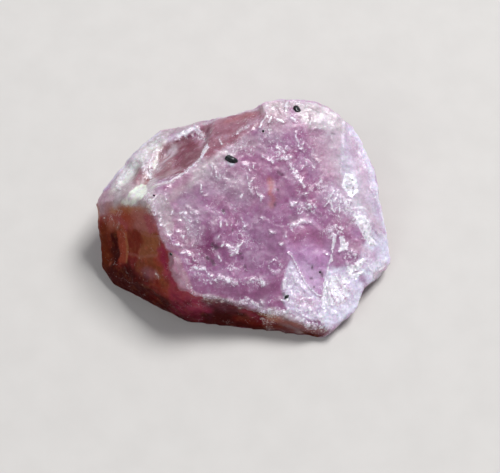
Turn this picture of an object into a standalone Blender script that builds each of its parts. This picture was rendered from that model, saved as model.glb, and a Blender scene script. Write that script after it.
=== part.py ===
"""Raw ruby crystal: one rough, broken lump of corundum that lies on its flat parting face.

The lump starts as a plain block. Flat fractures cleave it to its planes, ledges and conchoidal
scoops are cut out of it, and weathering chips its edges and roughens its faces.
Lengths are in millimetres until the last step, which turns them to metres.
The frame has +X to the right, +Y to the back and +Z up, with the origin under the middle of the
lump, on the plane that it rests on.
"""

import math
from dataclasses import dataclass

import bmesh
import bpy
from mathutils import Matrix, Vector, noise

METRES_PER_MM = 0.001

# Driving dimensions of the whole lump.
BLOCK = Vector((30.0, 30.0, 18.0))
GRAIN = 0.14  # width of the even grid that weathering works on
MOST_TRIANGLES = 9400
SCOOP_UNEVENNESS = 0.3  # how far a scoop's wall strays from its ellipsoid, as a share of its size

# Weathering: how deep each kind of roughness goes, and how wide its features are.
SWELL_DEPTH, SWELL_WIDTH = 0.16, 4.2
CRUST_DEPTH, CRUST_WIDTH = 0.09, 1.3
CHIP_DEPTH, CHIP_WIDTH = 0.34, 1.1
BASE_CLEARANCE = 0.4  # roughness fades out this near the parting face
BASE_TRIM = 0.05  # the parting face is cleaved again this far up, so that it ends flat


@dataclass(frozen=True)
class Fracture:
    """A flat break through a point. Bearing 0 faces the front and 90 the right; rise is upwards."""

    through: tuple[float, float, float]
    bearing: float
    rise: float

    @property
    def normal(self) -> Vector:
        turn, lift = math.radians(self.bearing), math.radians(self.rise)
        level = math.cos(lift)
        return Vector((math.sin(turn) * level, -math.cos(turn) * level, math.sin(lift)))


@dataclass(frozen=True)
class Ledge:
    """A step broken out of the lump: what lies beyond every one of its faces is gone."""

    name: str
    faces: tuple[Fracture, ...]


@dataclass(frozen=True)
class Scoop:
    """A conchoidal hollow: an uneven ellipsoid, cut out of a face.

    Its half lengths are across, along and into the face, and it is turned about the upright axis.
    """

    name: str
    centre: tuple[float, float, float]
    half: tuple[float, float, float]
    face: Fracture
    turn: float = 0.0


# The upper side, from the broad inclined face outwards.
BROAD_FACE = Fracture((0.0, 0.0, 5.9), 31, 64)
STAINED_FACE = Fracture((-7.7, -2.7, 4.0), -48, 33)
UPPER_FRACTURES = [
    BROAD_FACE,
    Fracture((3.6, 5.9, 7.1), 108, 78),  # pale crown at the back of the broad face
    Fracture((7.5, 4.65, 5.6), 70, 57),  # bevel along the upper right rim
    Fracture((8.25, -0.8, 3.5), 58, 49),  # bevel along the right rim
    Fracture((-5.6, -2.6, 6.3), -14, 58),  # narrow brow between the broad and the stained face
    STAINED_FACE,
    Fracture((-8.4, 1.3, 5.05), -114, 48),  # frosted left shoulder
]
WALL_FRACTURES = [
    Fracture((0.5, -7.42, 1.4), -7.5, 6),  # front wall
    Fracture((5.05, -8.45, 0.7), 18, -14),
    Fracture((7.35, -7.05, 1.0), 40, -24),
    Fracture((8.8, -5.6, 1.4), 52, -28),
    Fracture((10.15, -3.6, 1.7), 62, -26),
    Fracture((10.7, -2.4, 2.1), 86, -20),
    Fracture((10.5, 0.1, 3.0), 98, -12),
    Fracture((9.45, 2.0, 4.1), 102, -3),
    Fracture((8.15, 4.9, 5.3), 118, 3),
    Fracture((6.2, 6.45, 6.1), 149, 7),
    Fracture((3.0, 7.15, 7.0), 176, 5),
    Fracture((-2.0, 6.5, 6.0), -174, 4),
    Fracture((-6.6, 5.15, 4.95), -142, 8),
    Fracture((-8.3, 3.25, 4.4), -128, 2),
    Fracture((-9.6, 1.4, 4.0), -121, -6),
    Fracture((-10.15, -0.5, 3.2), -93, -7),
    Fracture((-9.6, -3.75, 1.0), -60, -16),
    Fracture((-6.6, -5.4, 1.5), -29, 3),  # low wall under the stained face
    Fracture((2.0, 7.2, 1.9), 172, -30),  # undercuts at the back, right and left
    Fracture((-4.6, 6.0, 1.1), -161, -38),
    Fracture((9.6, 2.4, 1.3), 106, -42),
    Fracture((-9.6, 1.6, 1.2), -112, -36),
]
PARTING_FACE = Fracture((0.0, 0.0, 0.0), 0, -90)

STEP_FACE = Fracture((-1.75, 3.68, 6.9), -135, 64)  # the step's floor, low on the left
STEP_END = Fracture((1.1, 5.4, 7.2), -96, 20)  # its riser, under the crown
LEDGES = [
    Ledge("back_left_step", (STEP_FACE, STEP_END)),
    Ledge("back_of_step", (Fracture((-2.0, 6.15, 6.0), -174, 4), STEP_END)),
    Ledge("crown_corner", (STEP_FACE, Fracture((1.4, 6.55, 7.0), -143, 12))),
    Ledge("right_notch", (Fracture((8.5, -5.1, 1.8), 40, -22), Fracture((8.5, -5.1, 1.8), 82, -22))),
    Ledge(
        "shoulder_hollow",
        (
            Fracture((-3.55, 1.05, 7.2), -139, 54),  # its floor, then the left, right and back sides
            Fracture((-6.3, 2.7, 5.7), 80, 37),
            Fracture((-2.8, 2.5, 6.95), -113, 30),
            Fracture((-4.8, 4.6, 5.6), 20, 40),
        ),
    ),
    Ledge("frosted_bevel", (Fracture((-0.2, -5.7, 3.6), 20, 56), Fracture((2.6, -6.5, 2.6), -60, 25))),
    Ledge(
        "triangular_break",
        (
            Fracture((4.2, -4.75, 2.85), 41, 61),
            Fracture((5.9, -4.0, 2.75), -76, 34),
            Fracture((4.6, -1.9, 3.9), -20, 30),
        ),
    ),
    Ledge(
        "back_overhang",
        (
            Fracture((2.5, 6.85, 3.0), 174, 8),
            Fracture((2.5, 6.6, 3.7), 20, -58),
            Fracture((-1.2, 6.4, 3.0), 112, 8),
        ),
    ),
]
SCOOPS = [
    Scoop("shoulder_dent", (-8.3, 2.3, 5.6), (1.6, 1.1, 1.0), STEP_FACE, 20),
    Scoop("rim_notch", (10.1, 1.1, 4.2), (0.75, 0.8, 2.4), PARTING_FACE),
    Scoop("stained_pit", (-5.3, -5.0, 4.9), (0.55, 1.5, 0.6), STAINED_FACE, 8),
    Scoop("left_notch", (-8.6, -5.3, 0.6), (0.9, 0.6, 1.4), PARTING_FACE),
    Scoop("front_hollow", (-0.6, -8.35, 1.5), (2.6, 1.1, 1.5), PARTING_FACE),
    Scoop("back_left_hollow", (-5.4, 7.0, 2.6), (2.6, 1.7, 1.9), PARTING_FACE, 34),
    Scoop("right_hollow", (10.9, 0.6, 0.9), (1.9, 2.6, 1.7), PARTING_FACE, 10),
]


def clear_scene() -> None:
    """Removes every object that the file opened with."""
    for thing in list(bpy.data.objects):
        bpy.data.objects.remove(thing)


def link_mesh(name: str, shape: bmesh.types.BMesh) -> bpy.types.Object:
    """Frees the bmesh into a new mesh object of that name."""
    mesh = bpy.data.meshes.new(name)
    shape.to_mesh(mesh)
    shape.free()
    thing = bpy.data.objects.new(name, mesh)
    bpy.context.scene.collection.objects.link(thing)
    return thing


def cleave(shape: bmesh.types.BMesh, fracture: Fracture, keep_outside: bool = False) -> None:
    """Cuts the shape along the fracture, drops the outer side and closes the cut with one face."""
    cut = bmesh.ops.bisect_plane(
        shape,
        geom=shape.verts[:] + shape.edges[:] + shape.faces[:],
        dist=1e-5,
        plane_co=fracture.through,
        plane_no=-fracture.normal if keep_outside else fracture.normal,
        clear_outer=True,
    )
    rim = [item for item in cut["geom_cut"] if isinstance(item, bmesh.types.BMEdge)]
    bmesh.ops.edgeloop_fill(shape, edges=rim)


def start_block(size: Vector) -> bmesh.types.BMesh:
    """A box that stands well outside the finished lump on every side."""
    shape = bmesh.new()
    bmesh.ops.create_cube(shape, size=1.0, matrix=Matrix.Diagonal((*size, 1.0)))
    return shape


def hide_cutter(cutter: bpy.types.Object) -> None:
    """Keeps a cutting shape out of the finished part."""
    cutter.hide_render = True
    cutter.display_type = "WIRE"


def cut_away(lump: bpy.types.Object, cutter: bpy.types.Object) -> None:
    """Takes the cutter's shape out of the lump."""
    hide_cutter(cutter)
    cut = lump.modifiers.new(cutter.name, "BOOLEAN")
    cut.operation = "DIFFERENCE"
    cut.solver = "EXACT"
    cut.object = cutter


def cleaved_lump() -> bpy.types.Object:
    """The block with its flat fractures."""
    shape = start_block(BLOCK)
    for fracture in (*UPPER_FRACTURES, *WALL_FRACTURES, PARTING_FACE):
        cleave(shape, fracture)
    bmesh.ops.recalc_face_normals(shape, faces=shape.faces)
    return link_mesh("cleaved_lump", shape)


def ledge_cutter(ledge: Ledge) -> bpy.types.Object:
    """A wedge that fills the space beyond the ledge's faces."""
    shape = start_block(BLOCK * 2)
    for fracture in ledge.faces:
        cleave(shape, fracture, keep_outside=True)
    bmesh.ops.recalc_face_normals(shape, faces=shape.faces)
    return link_mesh(ledge.name, shape)


def scoop_cutter(scoop: Scoop) -> bpy.types.Object:
    """The scoop's ellipsoid, leaned with its face and then turned about the upright axis."""
    shape = bmesh.new()
    bmesh.ops.create_icosphere(shape, subdivisions=4, radius=1.0)
    for vertex in shape.verts:
        vertex.co *= 1.0 + SCOOP_UNEVENNESS * noise.noise(1.9 * vertex.co + Vector(scoop.centre))
    lean = scoop.face.normal.to_track_quat("Z", "Y").to_matrix().to_4x4()
    turn = Matrix.Rotation(math.radians(scoop.turn), 4, "Z")
    place = Matrix.Translation(scoop.centre) @ turn @ lean @ Matrix.Diagonal((*scoop.half, 1.0))
    bmesh.ops.transform(shape, matrix=place, verts=shape.verts)
    return link_mesh(scoop.name, shape)


def evaluated(lump: bpy.types.Object) -> bmesh.types.BMesh:
    """The lump as its modifiers leave it, as a new bmesh of triangles."""
    shape = bmesh.new()
    shape.from_object(lump, bpy.context.evaluated_depsgraph_get())
    bmesh.ops.triangulate(shape, faces=shape.faces)
    return shape


def even_grain(lump: bpy.types.Object) -> bmesh.types.BMesh:
    """The cut lump on an even grid, fine enough for the roughness."""
    grid = lump.modifiers.new("even_grain", "REMESH")
    grid.mode = "VOXEL"
    grid.voxel_size = GRAIN
    return evaluated(lump)


def edge_sharpness(shape: bmesh.types.BMesh) -> list[float]:
    """How sharply the surface turns outwards around each vertex, from 0 on a flat to about 1."""
    shape.normal_update()
    shape.verts.index_update()
    sharpness = []
    for vertex in shape.verts:
        turns = [edge.calc_face_angle_signed(0.0) for edge in vertex.link_edges]
        sharpness.append(max(0.0, min(1.0, sum(turns) / 0.9)))
    return sharpness


def roughness_at(place: Vector, sharp: float) -> float:
    """How far weathering moves the surface outwards at a place, in millimetres."""
    swell = noise.noise(place / SWELL_WIDTH)
    crust = noise.fractal(place / CRUST_WIDTH, 0.9, 2.0, 3)
    chip = max(0.0, noise.noise(place / CHIP_WIDTH + Vector((7.3, 1.9, 4.1))) + 0.15)
    return SWELL_DEPTH * swell + CRUST_DEPTH * crust - CHIP_DEPTH * chip * sharp


def weather(shape: bmesh.types.BMesh) -> None:
    """Roughens every face and chips the edges, and leaves the parting face as it is."""
    sharpness = edge_sharpness(shape)
    for vertex in shape.verts:
        fade = max(0.0, min(1.0, vertex.co.z / BASE_CLEARANCE))
        step = fade * roughness_at(vertex.co, sharpness[vertex.index])
        vertex.co += vertex.normal * step


def thin_out(shape: bmesh.types.BMesh) -> bmesh.types.BMesh:
    """The same lump with large triangles on its flats and small ones along its ridges."""
    share = MOST_TRIANGLES / len(shape.faces)
    rough_lump = link_mesh("rough_lump", shape)
    hide_cutter(rough_lump)
    thin = rough_lump.modifiers.new("thin_out", "DECIMATE")
    thin.ratio = share
    return evaluated(rough_lump)


def stand_on_origin(shape: bmesh.types.BMesh) -> None:
    """Puts the middle of the lump's box over the origin and its lowest point on z = 0."""
    low = Vector(min(vertex.co[axis] for vertex in shape.verts) for axis in range(3))
    high = Vector(max(vertex.co[axis] for vertex in shape.verts) for axis in range(3))
    middle = (low + high) / 2
    bmesh.ops.translate(shape, verts=shape.verts, vec=(-middle.x, -middle.y, -low.z))


def ruby_material() -> bpy.types.Material:
    """Milky rose-red corundum with a glassy lustre."""
    material = bpy.data.materials.new("rose_corundum")
    material.use_nodes = True
    shader = material.node_tree.nodes["Principled BSDF"]
    shader.inputs["Base Color"].default_value = (0.48, 0.16, 0.27, 1.0)
    shader.inputs["Roughness"].default_value = 0.3
    shader.inputs["Metallic"].default_value = 0.0
    shader.inputs["IOR"].default_value = 1.77
    return material


def main() -> None:
    """Builds the one node, ruby_crystal."""
    clear_scene()
    lump = cleaved_lump()
    for ledge in LEDGES:
        cut_away(lump, ledge_cutter(ledge))
    for scoop in SCOOPS:
        cut_away(lump, scoop_cutter(scoop))
    shape = even_grain(lump)
    hide_cutter(lump)
    weather(shape)
    shape = thin_out(shape)
    cleave(shape, Fracture((0.0, 0.0, BASE_TRIM), 0, -90))
    stand_on_origin(shape)
    bmesh.ops.scale(shape, verts=shape.verts, vec=Vector.Fill(3, METRES_PER_MM))
    crystal = link_mesh("ruby_crystal", shape)
    crystal.data.materials.append(ruby_material())


main()
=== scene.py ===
"""Looks of the raw ruby crystal: a broken lump of milky rose corundum on a pale studio floor.

The stone is one natural piece. Its skin gets the low relief of a broken face (tilted flats,
hackles, grain) and the marks that lie in it: washes of lilac, rose and grey, white threads and
crushed flats, plum specks, a hairline crack and the iron stain of the left side. Some marks are
painted light: painted shade in the hollow, on the front wall and low on the stain, painted rim
light and glow along the pale outline, and painted glints. Small black mineral grains sit in the
skin. Shapes and marks are worked out in millimetres, and each finished mesh is turned to metres.
"""

import logging
import math
from dataclasses import dataclass, field, replace
from enum import Enum

import bmesh
import bpy
import numpy as np
from mathutils import Matrix, Vector, noise
from mathutils.bvhtree import BVHTree


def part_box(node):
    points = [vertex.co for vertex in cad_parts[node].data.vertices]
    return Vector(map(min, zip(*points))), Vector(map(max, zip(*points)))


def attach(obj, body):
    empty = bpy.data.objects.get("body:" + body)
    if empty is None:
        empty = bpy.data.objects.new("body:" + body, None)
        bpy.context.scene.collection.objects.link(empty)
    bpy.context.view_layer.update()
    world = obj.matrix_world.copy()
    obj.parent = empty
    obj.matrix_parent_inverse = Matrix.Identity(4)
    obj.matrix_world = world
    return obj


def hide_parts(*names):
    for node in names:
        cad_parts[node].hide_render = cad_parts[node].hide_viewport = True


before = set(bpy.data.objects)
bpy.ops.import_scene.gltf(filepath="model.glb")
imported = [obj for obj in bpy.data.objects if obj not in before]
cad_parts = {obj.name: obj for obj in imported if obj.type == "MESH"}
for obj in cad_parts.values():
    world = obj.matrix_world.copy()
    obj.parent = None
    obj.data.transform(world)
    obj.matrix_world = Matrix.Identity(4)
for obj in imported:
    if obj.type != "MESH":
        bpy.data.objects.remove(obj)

log = logging.getLogger("ruby_crystal")

METRES_PER_MM = 0.001
NODE = "ruby_crystal"
BODY = "root"
TINT = "tint"
NOISE_SEED = 7  # without a seed, mathutils' vector noise differs in each run

# Sockets of the Mix node while it mixes colours.
MIX_FACTOR, MIX_FIRST, MIX_SECOND, MIX_RESULT = 0, 6, 7, 2

Place = tuple[float, float]  # the two plan coordinates of a place, in millimetres

# Marks, in millimetres where they are lengths.
CRACK_REACH = 0.2  # how far out a crack's nearness runs; the material thins it to about 0.1
CRACK_FROST = 0.55  # how frosted the stone is close to a crack
CRACK_MILK = 0.12  # and how milky
FLAKE_LENGTH = 0.15
FLAKE_TURN = 2.4  # radians from one flake to the next, so that no two lie alike
STREAK_LENGTH, STREAK_WIDTH = 1.5, 0.2
ABOVE_LIMIT = -0.15  # a mark laid on from above fades in where the skin turns up more than this
SIDE_LIMIT = 0.45  # and one laid on from a side only on the steep walls that face it
LIMIT_SPAN = 0.3


def linear(hex_colour: str) -> tuple[float, float, float, float]:
    """Turns an sRGB hex colour to linear RGBA.

    Args:
        hex_colour: The colour, such as "#A07197".

    Returns:
        The four linear values that sockets take.
    """
    channels = [int(hex_colour[start : start + 2], 16) / 255 for start in (1, 3, 5)]
    turned = [c / 12.92 if c <= 0.04045 else ((c + 0.055) / 1.055) ** 2.4 for c in channels]
    return (*turned, 1.0)


def per_metre(size_mm: float) -> float:
    """Pattern scale on object coordinates that gives features of this size."""
    return 1.0 / (size_mm * METRES_PER_MM)


def smoothstep(low: float, high: float, value: np.ndarray) -> np.ndarray:
    """0 below low, 1 above high and a smooth rise between them."""
    share = np.clip((value - low) / (high - low), 0.0, 1.0)
    return share * share * (3.0 - 2.0 * share)


def add_node(
    tree: bpy.types.NodeTree,
    kind: str,
    inputs: dict[int | str, object] | None = None,
    out: int | str = 0,
    stops: tuple[tuple[float, str], ...] = (),
    **settings: object,
) -> bpy.types.NodeSocket | None:
    """Adds one shader node with its settings and links.

    Args:
        tree: The material's or world's node tree.
        kind: The node's type without the ShaderNode prefix.
        inputs: A value for each input socket, or the output socket to link to it.
        out: The output socket wanted.
        stops: Position and sRGB hex colour of each stop, for a node with a colour ramp.
        settings: The node's own properties.

    Returns:
        The wanted output socket, or None for a node that has none.
    """
    node = tree.nodes.new("ShaderNode" + kind)
    for name, value in settings.items():
        setattr(node, name, value)
    for socket, value in (inputs or {}).items():
        if isinstance(value, bpy.types.NodeSocket):
            tree.links.new(value, node.inputs[socket])
        else:
            node.inputs[socket].default_value = value
    for index, (position, colour) in enumerate(stops):
        elements = node.color_ramp.elements
        stop = elements[index] if index < len(elements) else elements.new(position)
        stop.position = position
        stop.color = linear(colour)
    return node.outputs[out] if node.outputs else None


def mixed(
    tree: bpy.types.NodeTree, share: object, first: object, second: object, **settings: object
) -> bpy.types.NodeSocket:
    """Adds a node that mixes two colours.

    Args:
        tree: The material's node tree.
        share: How much of the second colour there is.
        first: The first colour.
        second: The second colour.
        settings: The node's own properties.

    Returns:
        The mixed colour.
    """
    inputs = {MIX_FACTOR: share, MIX_FIRST: first, MIX_SECOND: second}
    return add_node(tree, "Mix", inputs, MIX_RESULT, data_type="RGBA", **settings)


def remapped(
    tree: bpy.types.NodeTree,
    value: bpy.types.NodeSocket,
    span: tuple[float, float],
    target: tuple[float, float],
) -> bpy.types.NodeSocket:
    """Adds a node that maps one span of values to another, and holds the ends beyond it.

    Args:
        tree: The material's node tree.
        value: The value to map.
        span: Its two limits.
        target: What they turn to.

    Returns:
        The mapped value.
    """
    inputs = {"Value": value, "From Min": span[0], "From Max": span[1]}
    return add_node(tree, "MapRange", {**inputs, "To Min": target[0], "To Max": target[1]}, "Result")


def maths(
    tree: bpy.types.NodeTree, operation: str, *values: bpy.types.NodeSocket | float
) -> bpy.types.NodeSocket:
    """Adds a Math node. MULTIPLY_ADD gives the first value times the second, plus the third."""
    return add_node(tree, "Math", dict(enumerate(values)), operation=operation)


def cloudy(
    tree: bpy.types.NodeTree,
    place: bpy.types.NodeSocket,
    size_mm: float,
    detail: float,
    roughness: float = 0.5,
    out: str = "Fac",
) -> bpy.types.NodeSocket:
    """Adds noise whose features are about that wide.

    Args:
        tree: The material's node tree.
        place: The coordinates that it runs on.
        size_mm: How wide its largest features are.
        detail: How many times it repeats at half the size.
        roughness: How strong those repeats are.
        out: The output socket wanted.

    Returns:
        The noise, from 0 to 1.
    """
    inputs = {"Vector": place, "Scale": per_metre(size_mm), "Detail": detail, "Roughness": roughness}
    return add_node(tree, "TexNoise", inputs, out)


class Tone(Enum):
    """The stone's own colours: milky whites, lilacs and roses, then the reds and browns of the stain."""

    CREAM = "#DEE3D8"
    ICE_AND_PAINTED_LIGHT = "#DAD9EA"
    # Mostly painted light: rim light along the outline, glow through the thin right rim and a grain's glint;
    # it also whitens one crushed patch.
    MILK = "#D0CDD6"
    LAVENDER = "#CABDD4"
    SHELL_PINK = "#BE9AB1"
    ASH_ROSE = "#B8ABB0"
    ORCHID = "#B486B2"
    OLD_ROSE = "#B0959F"
    GREY_LILAC = "#A0879A"
    ROSE_LILAC = "#9E6088"
    LILAC = "#9C6490"
    BAND_ROSE = "#9C6C7C"
    DUSKY_PINK = "#956C76"
    PLUM_ROSE = "#8A5078"
    MAUVE_PINK = "#A67A8C"
    PURPLE = "#905C87"
    # Painted shade in the hollow and along the foot of the band's step.
    HOLLOW_SHADE_ROSE = "#874A5E"
    MAGENTA = "#762A60"
    RUST = "#B35F50"
    TAN = "#AE7A52"
    CLAY = "#A46660"
    ROSEWOOD = "#9E4C55"
    BROWN = "#964330"
    UMBER = "#8E5236"
    CRIMSON = "#942A4A"
    OXBLOOD = "#6C140E"
    OLIVE = "#7A4226"
    # Painted shade in the gaps along the sill and ridges, and in the hollow.
    PLUM_BROWN_SHADE = "#66393C"
    # Painted shade in the hollow and on the front wall.
    MULBERRY_SHADE = "#5A2230"
    DARK_UMBER = "#64260A"
    BLOOD_DARK = "#3C0302"


class Zone(Enum):
    """How the skin is broken or coated. Each zone is a point attribute of the mesh.

    They run from 0 to 1. Only CRUSHED and THREAD go a little higher where a break is strong.
    """

    FROST = "frost"  # whitened by countless small breaks
    CRUSHED = "crushed"  # crushed all the way to white, with glinting flats
    # Partly painted highlight: the white drawn near a crack or edge stands for the light it catches.
    THREAD = "thread"  # the nearness of a fine crack or edge that catches the light
    STAIN = "stain"  # the earthy iron film, which hardly shines
    SPECK = "speck"  # dark plum inclusions that lie under the skin
    SMOOTH = "smooth"  # smooth flats, with no crumpling


def zone_value(tree: bpy.types.NodeTree, zone: Zone) -> bpy.types.NodeSocket:
    """Adds a node that reads a zone of the skin."""
    return add_node(tree, "Attribute", attribute_name=zone.value, out="Fac")


class Shape(Enum):
    """How a mark uses its places."""

    SPOTS = "spots"
    LINE = "line"
    AREA = "area"


class Seen(Enum):
    """The side that a mark is laid on from: its two plan axes, the third axis and its sign."""

    ABOVE = (0, 1, 2, 1.0)
    FRONT = (0, 2, 1, -1.0)
    BACK = (0, 2, 1, 1.0)
    LEFT = (1, 2, 0, -1.0)
    RIGHT = (1, 2, 0, 1.0)


@dataclass(frozen=True)
class Mark:
    """A mark in the skin, in millimetres: a tone laid over what is there, or a zone's strength.

    A negative strength clears the zone instead. A streaked mark is drawn out in fine lines at
    that many degrees from the first plan axis.
    """

    what: Tone | Zone
    strength: float
    half_width: float
    through: tuple[Place, ...]
    shape: Shape = Shape.LINE
    crisp: bool = False
    lift: float = 0.0
    softness: float = 1.0
    streak: float | None = None
    seen: Seen = Seen.ABOVE

    def distance(self, plan: np.ndarray) -> np.ndarray:
        """Distance of each plan point from the mark, below 0 inside an area.

        Args:
            plan: The points' two plan coordinates, as rows.

        Returns:
            One distance for each row.
        """
        points = np.array(self.through)
        if self.shape is Shape.SPOTS:
            away = [self.from_flake(plan - point, index) for index, point in enumerate(points)]
            return np.min(away, axis=0)
        ends = np.roll(points, -1, axis=0) if self.shape is Shape.AREA else points[1:]
        nearest = np.full(len(plan), np.inf)
        inside = np.zeros(len(plan), bool)
        for start, end in zip(points, ends):
            side = end - start
            share = np.clip((plan - start) @ side / (side @ side), 0.0, 1.0)
            nearest = np.minimum(nearest, np.linalg.norm(plan - start - share[:, None] * side, axis=1))
            spans = (start[1] > plan[:, 1]) != (end[1] > plan[:, 1])
            # A level side is never crossed, so any number but 0 can stand in for its rise.
            crossing = start[0] + (plan[:, 1] - start[1]) * side[0] / (side[1] or 1.0)
            inside ^= spans & (plan[:, 0] < crossing)
        return np.where(inside, -nearest, nearest) if self.shape is Shape.AREA else nearest

    def from_flake(self, offsets: np.ndarray, index: int) -> np.ndarray:
        """Distance from a spot, which is a short flake in a THREAD mark and round in others.

        Args:
            offsets: The plan points seen from the spot, as rows.
            index: The spot's number, which turns its flake.

        Returns:
            One distance for each row.
        """
        half_length = FLAKE_LENGTH / 2 if self.what is Zone.THREAD else 0.0
        turn = FLAKE_TURN * index + self.through[0][0]
        along = np.array((math.cos(turn), math.sin(turn)))
        share = np.clip(offsets @ along, -half_length, half_length)
        return np.linalg.norm(offsets - share[:, None] * along, axis=1)

    def cover(self, places: np.ndarray, normals: np.ndarray, ragged: np.ndarray) -> np.ndarray:
        """How much of the mark lies on each place.

        Args:
            places: Positions in millimetres, as rows.
            normals: Outward directions of the places.
            ragged: A small wander of each place, which frays the mark's edge unless it is crisp.

        Returns:
            One value from 0 to 1 for each place.
        """
        first, second, out, sign = self.seen.value
        limit = ABOVE_LIMIT if self.seen is Seen.ABOVE else SIDE_LIMIT
        facing = smoothstep(limit, limit + LIMIT_SPAN, normals[:, out] * sign)
        plan = (places if self.crisp else places + ragged)[:, (first, second)]
        away = self.distance(plan)
        if self.what is Zone.THREAD:
            return np.clip(1.0 - away / self.half_width, 0.0, 1.0) * facing
        inner = self.half_width * (1.0 - self.softness)
        outer = self.half_width * (1.0 + self.softness)
        cover = facing * (1.0 - smoothstep(inner, outer, away))
        if self.streak is not None:
            cover *= self.streaks(plan, cover)
        return cover

    def streaks(self, plan: np.ndarray, cover: np.ndarray) -> np.ndarray:
        """Fine lines that break a mark up.

        Args:
            plan: The points' two plan coordinates, as rows.
            cover: How much of the mark lies on each, so that no line is worked out off it.

        Returns:
            One value from 0 to 1 for each row.
        """
        turn = math.radians(self.streak)
        along = plan @ np.array((math.cos(turn), math.sin(turn)))
        across = plan @ np.array((-math.sin(turn), math.cos(turn)))
        lines = np.zeros(len(plan))
        for row in np.flatnonzero(cover > 0.0):
            lines[row] = noise.noise(Vector((along[row] / STREAK_LENGTH, across[row] / STREAK_WIDTH, 4.7)))
        return smoothstep(-0.25, 0.35, lines)


def stroke(
    what: Tone | Zone, strength: float, half_width: float, *through: Place, **more: float | bool
) -> Mark:
    """A mark along the line through those places."""
    return Mark(what, strength, half_width, through, **more)


def patch(
    what: Tone | Zone, strength: float, half_width: float, *outline: Place, **more: float | bool
) -> Mark:
    """A mark that fills an outline."""
    return Mark(what, strength, half_width, outline, Shape.AREA, **more)


def spots(
    what: Tone | Zone, strength: float, half_width: float, *centres: Place, **more: float | bool
) -> Mark:
    """A mark of round spots."""
    return Mark(what, strength, half_width, centres, Shape.SPOTS, **more)


def crack(strength: float, *through: Place, crisp: bool = False) -> Mark:
    """A fine white crack along the line through those places, frayed unless it is crisp."""
    return Mark(Zone.THREAD, strength, CRACK_REACH, through, crisp=crisp)


def flakes_and_painted_glints(strength: float, *centres: Place) -> Mark:
    """Short white flakes: partly crushed breaks, partly painted glints."""
    return Mark(Zone.THREAD, strength, CRACK_REACH, centres, Shape.SPOTS)


def laid_from(seen: Seen, marks: list[Mark]) -> list[Mark]:
    """The same marks, laid on from that side."""
    return [replace(mark, seen=seen) for mark in marks]


# Broad soft changes of tone on the broad face.
WASHES = [
    stroke(Tone.GREY_LILAC, 0.85, 1.1, (-2.75, 1.35), (-1.47, 1.12), (-0.13, 0.76)),
    stroke(
        Tone.ASH_ROSE, 0.75, 0.5, (-3.87, 0.46), (-3.21, 1.29), (-2.15, 2.34), (-0.94, 3.16),
        (0.35, 3.63), softness=0.9,
    ),
    stroke(Tone.ROSE_LILAC, 0.6, 1.2, (0.42, 2.55), (1.23, 1.85), (1.77, 0.74)),
    stroke(Tone.PURPLE, 0.75, 1.2, (0.55, -2.27), (1.9, -2.38), (1.63, -3.41)),
    stroke(Tone.PURPLE, 0.5, 0.8, (-1.06, -4.08), (0.42, -4.15), (1.22, -4.44)),
    spots(Tone.MAGENTA, 0.95, 0.95, (-2.33, -3.1)),
    stroke(Tone.MAGENTA, 0.5, 0.6, (-3.05, -3.68), (-2.52, -3.86)),
    spots(Tone.MAGENTA, 0.45, 0.5, (2.46, 1.64)),
    patch(Tone.SHELL_PINK, 0.9, 0.3, (4.27, 6.03), (6.93, 5.53), (6.75, 2.3), (5.63, 2.52), (4.67, 4.33)),
    stroke(Tone.SHELL_PINK, 0.5, 0.9, (5.91, 2.7), (6.74, 1.42), (7.41, -0.16)),
    patch(Tone.ROSE_LILAC, 0.45, 0.4, (4.54, 4.94), (5.37, 5.06), (5.37, 4.27), (4.26, 4.15)),
    patch(
        Tone.LAVENDER, 0.95, 0.2, (7.01, 5.87), (7.6, 5.86), (8.49, 4.1), (9.29, 1.5), (10.06, -0.88),
        (8.68, -1.83), (8.12, 0.0), (7.79, 1.52), (6.89, 2.57),
    ),
    stroke(Tone.LAVENDER, 0.5, 0.8, (6.32, 0.97), (7.0, 0.37), (7.7, 0.07)),
    patch(
        Tone.ORCHID, 1.0, 0.25, (3.13, -1.6), (4.64, -0.93), (5.54, -1.86), (5.87, -3.21), (5.37, -5.2),
        (4.48, -4.84), (3.6, -3.52), (3.05, -2.89), softness=0.9,
    ),
    stroke(Tone.ROSE_LILAC, 0.9, 0.6, (3.4, -1.95), (4.22, -1.53), (5.19, -1.79)),
    stroke(Tone.LAVENDER, 0.35, 0.5, (4.35, -3.82), (4.76, -4.64)),
    patch(
        Tone.LAVENDER, 0.95, 0.15, (3.19, -3.58), (4.0, -4.72), (5.02, -5.6), (5.29, -6.89),
        (3.78, -7.07), (2.84, -6.15), (2.64, -5.13), (3.05, -4.21), softness=0.5,
    ),
    stroke(Tone.SHELL_PINK, 0.6, 0.3, (3.79, -5.96), (4.6, -6.12)),
    # Painted glow: pale ice patches where light shines through the thin right rim.
    patch(
        Tone.ICE_AND_PAINTED_LIGHT, 0.95, 0.25, (8.39, -2.06), (10.05, -1.04), (10.22, -2.1), (9.55, -3.17), (8.52, -4.01),
        (8.09, -3.27),
    ),
    patch(
        Tone.ICE_AND_PAINTED_LIGHT, 0.95, 0.2, (5.87, -3.86), (6.91, -3.51), (8.08, -4.38), (7.94, -5.38), (6.87, -6.7),
        (5.56, -7.34), (5.51, -5.67),
    ),
    spots(Tone.ORCHID, 0.75, 0.5, (6.77, -2.91)),
    spots(Tone.ORCHID, 0.8, 0.35, (7.69, -1.18)),
    stroke(Tone.ROSE_LILAC, 0.6, 0.5, (6.58, -0.4), (7.13, -0.86)),
    stroke(
        Tone.PLUM_ROSE, 0.85, 0.45, (-3.31, -5.76), (-2.25, -5.9), (-0.25, -5.85), (1.36, -5.51),
        (2.23, -5.2),
    ),
]

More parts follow.
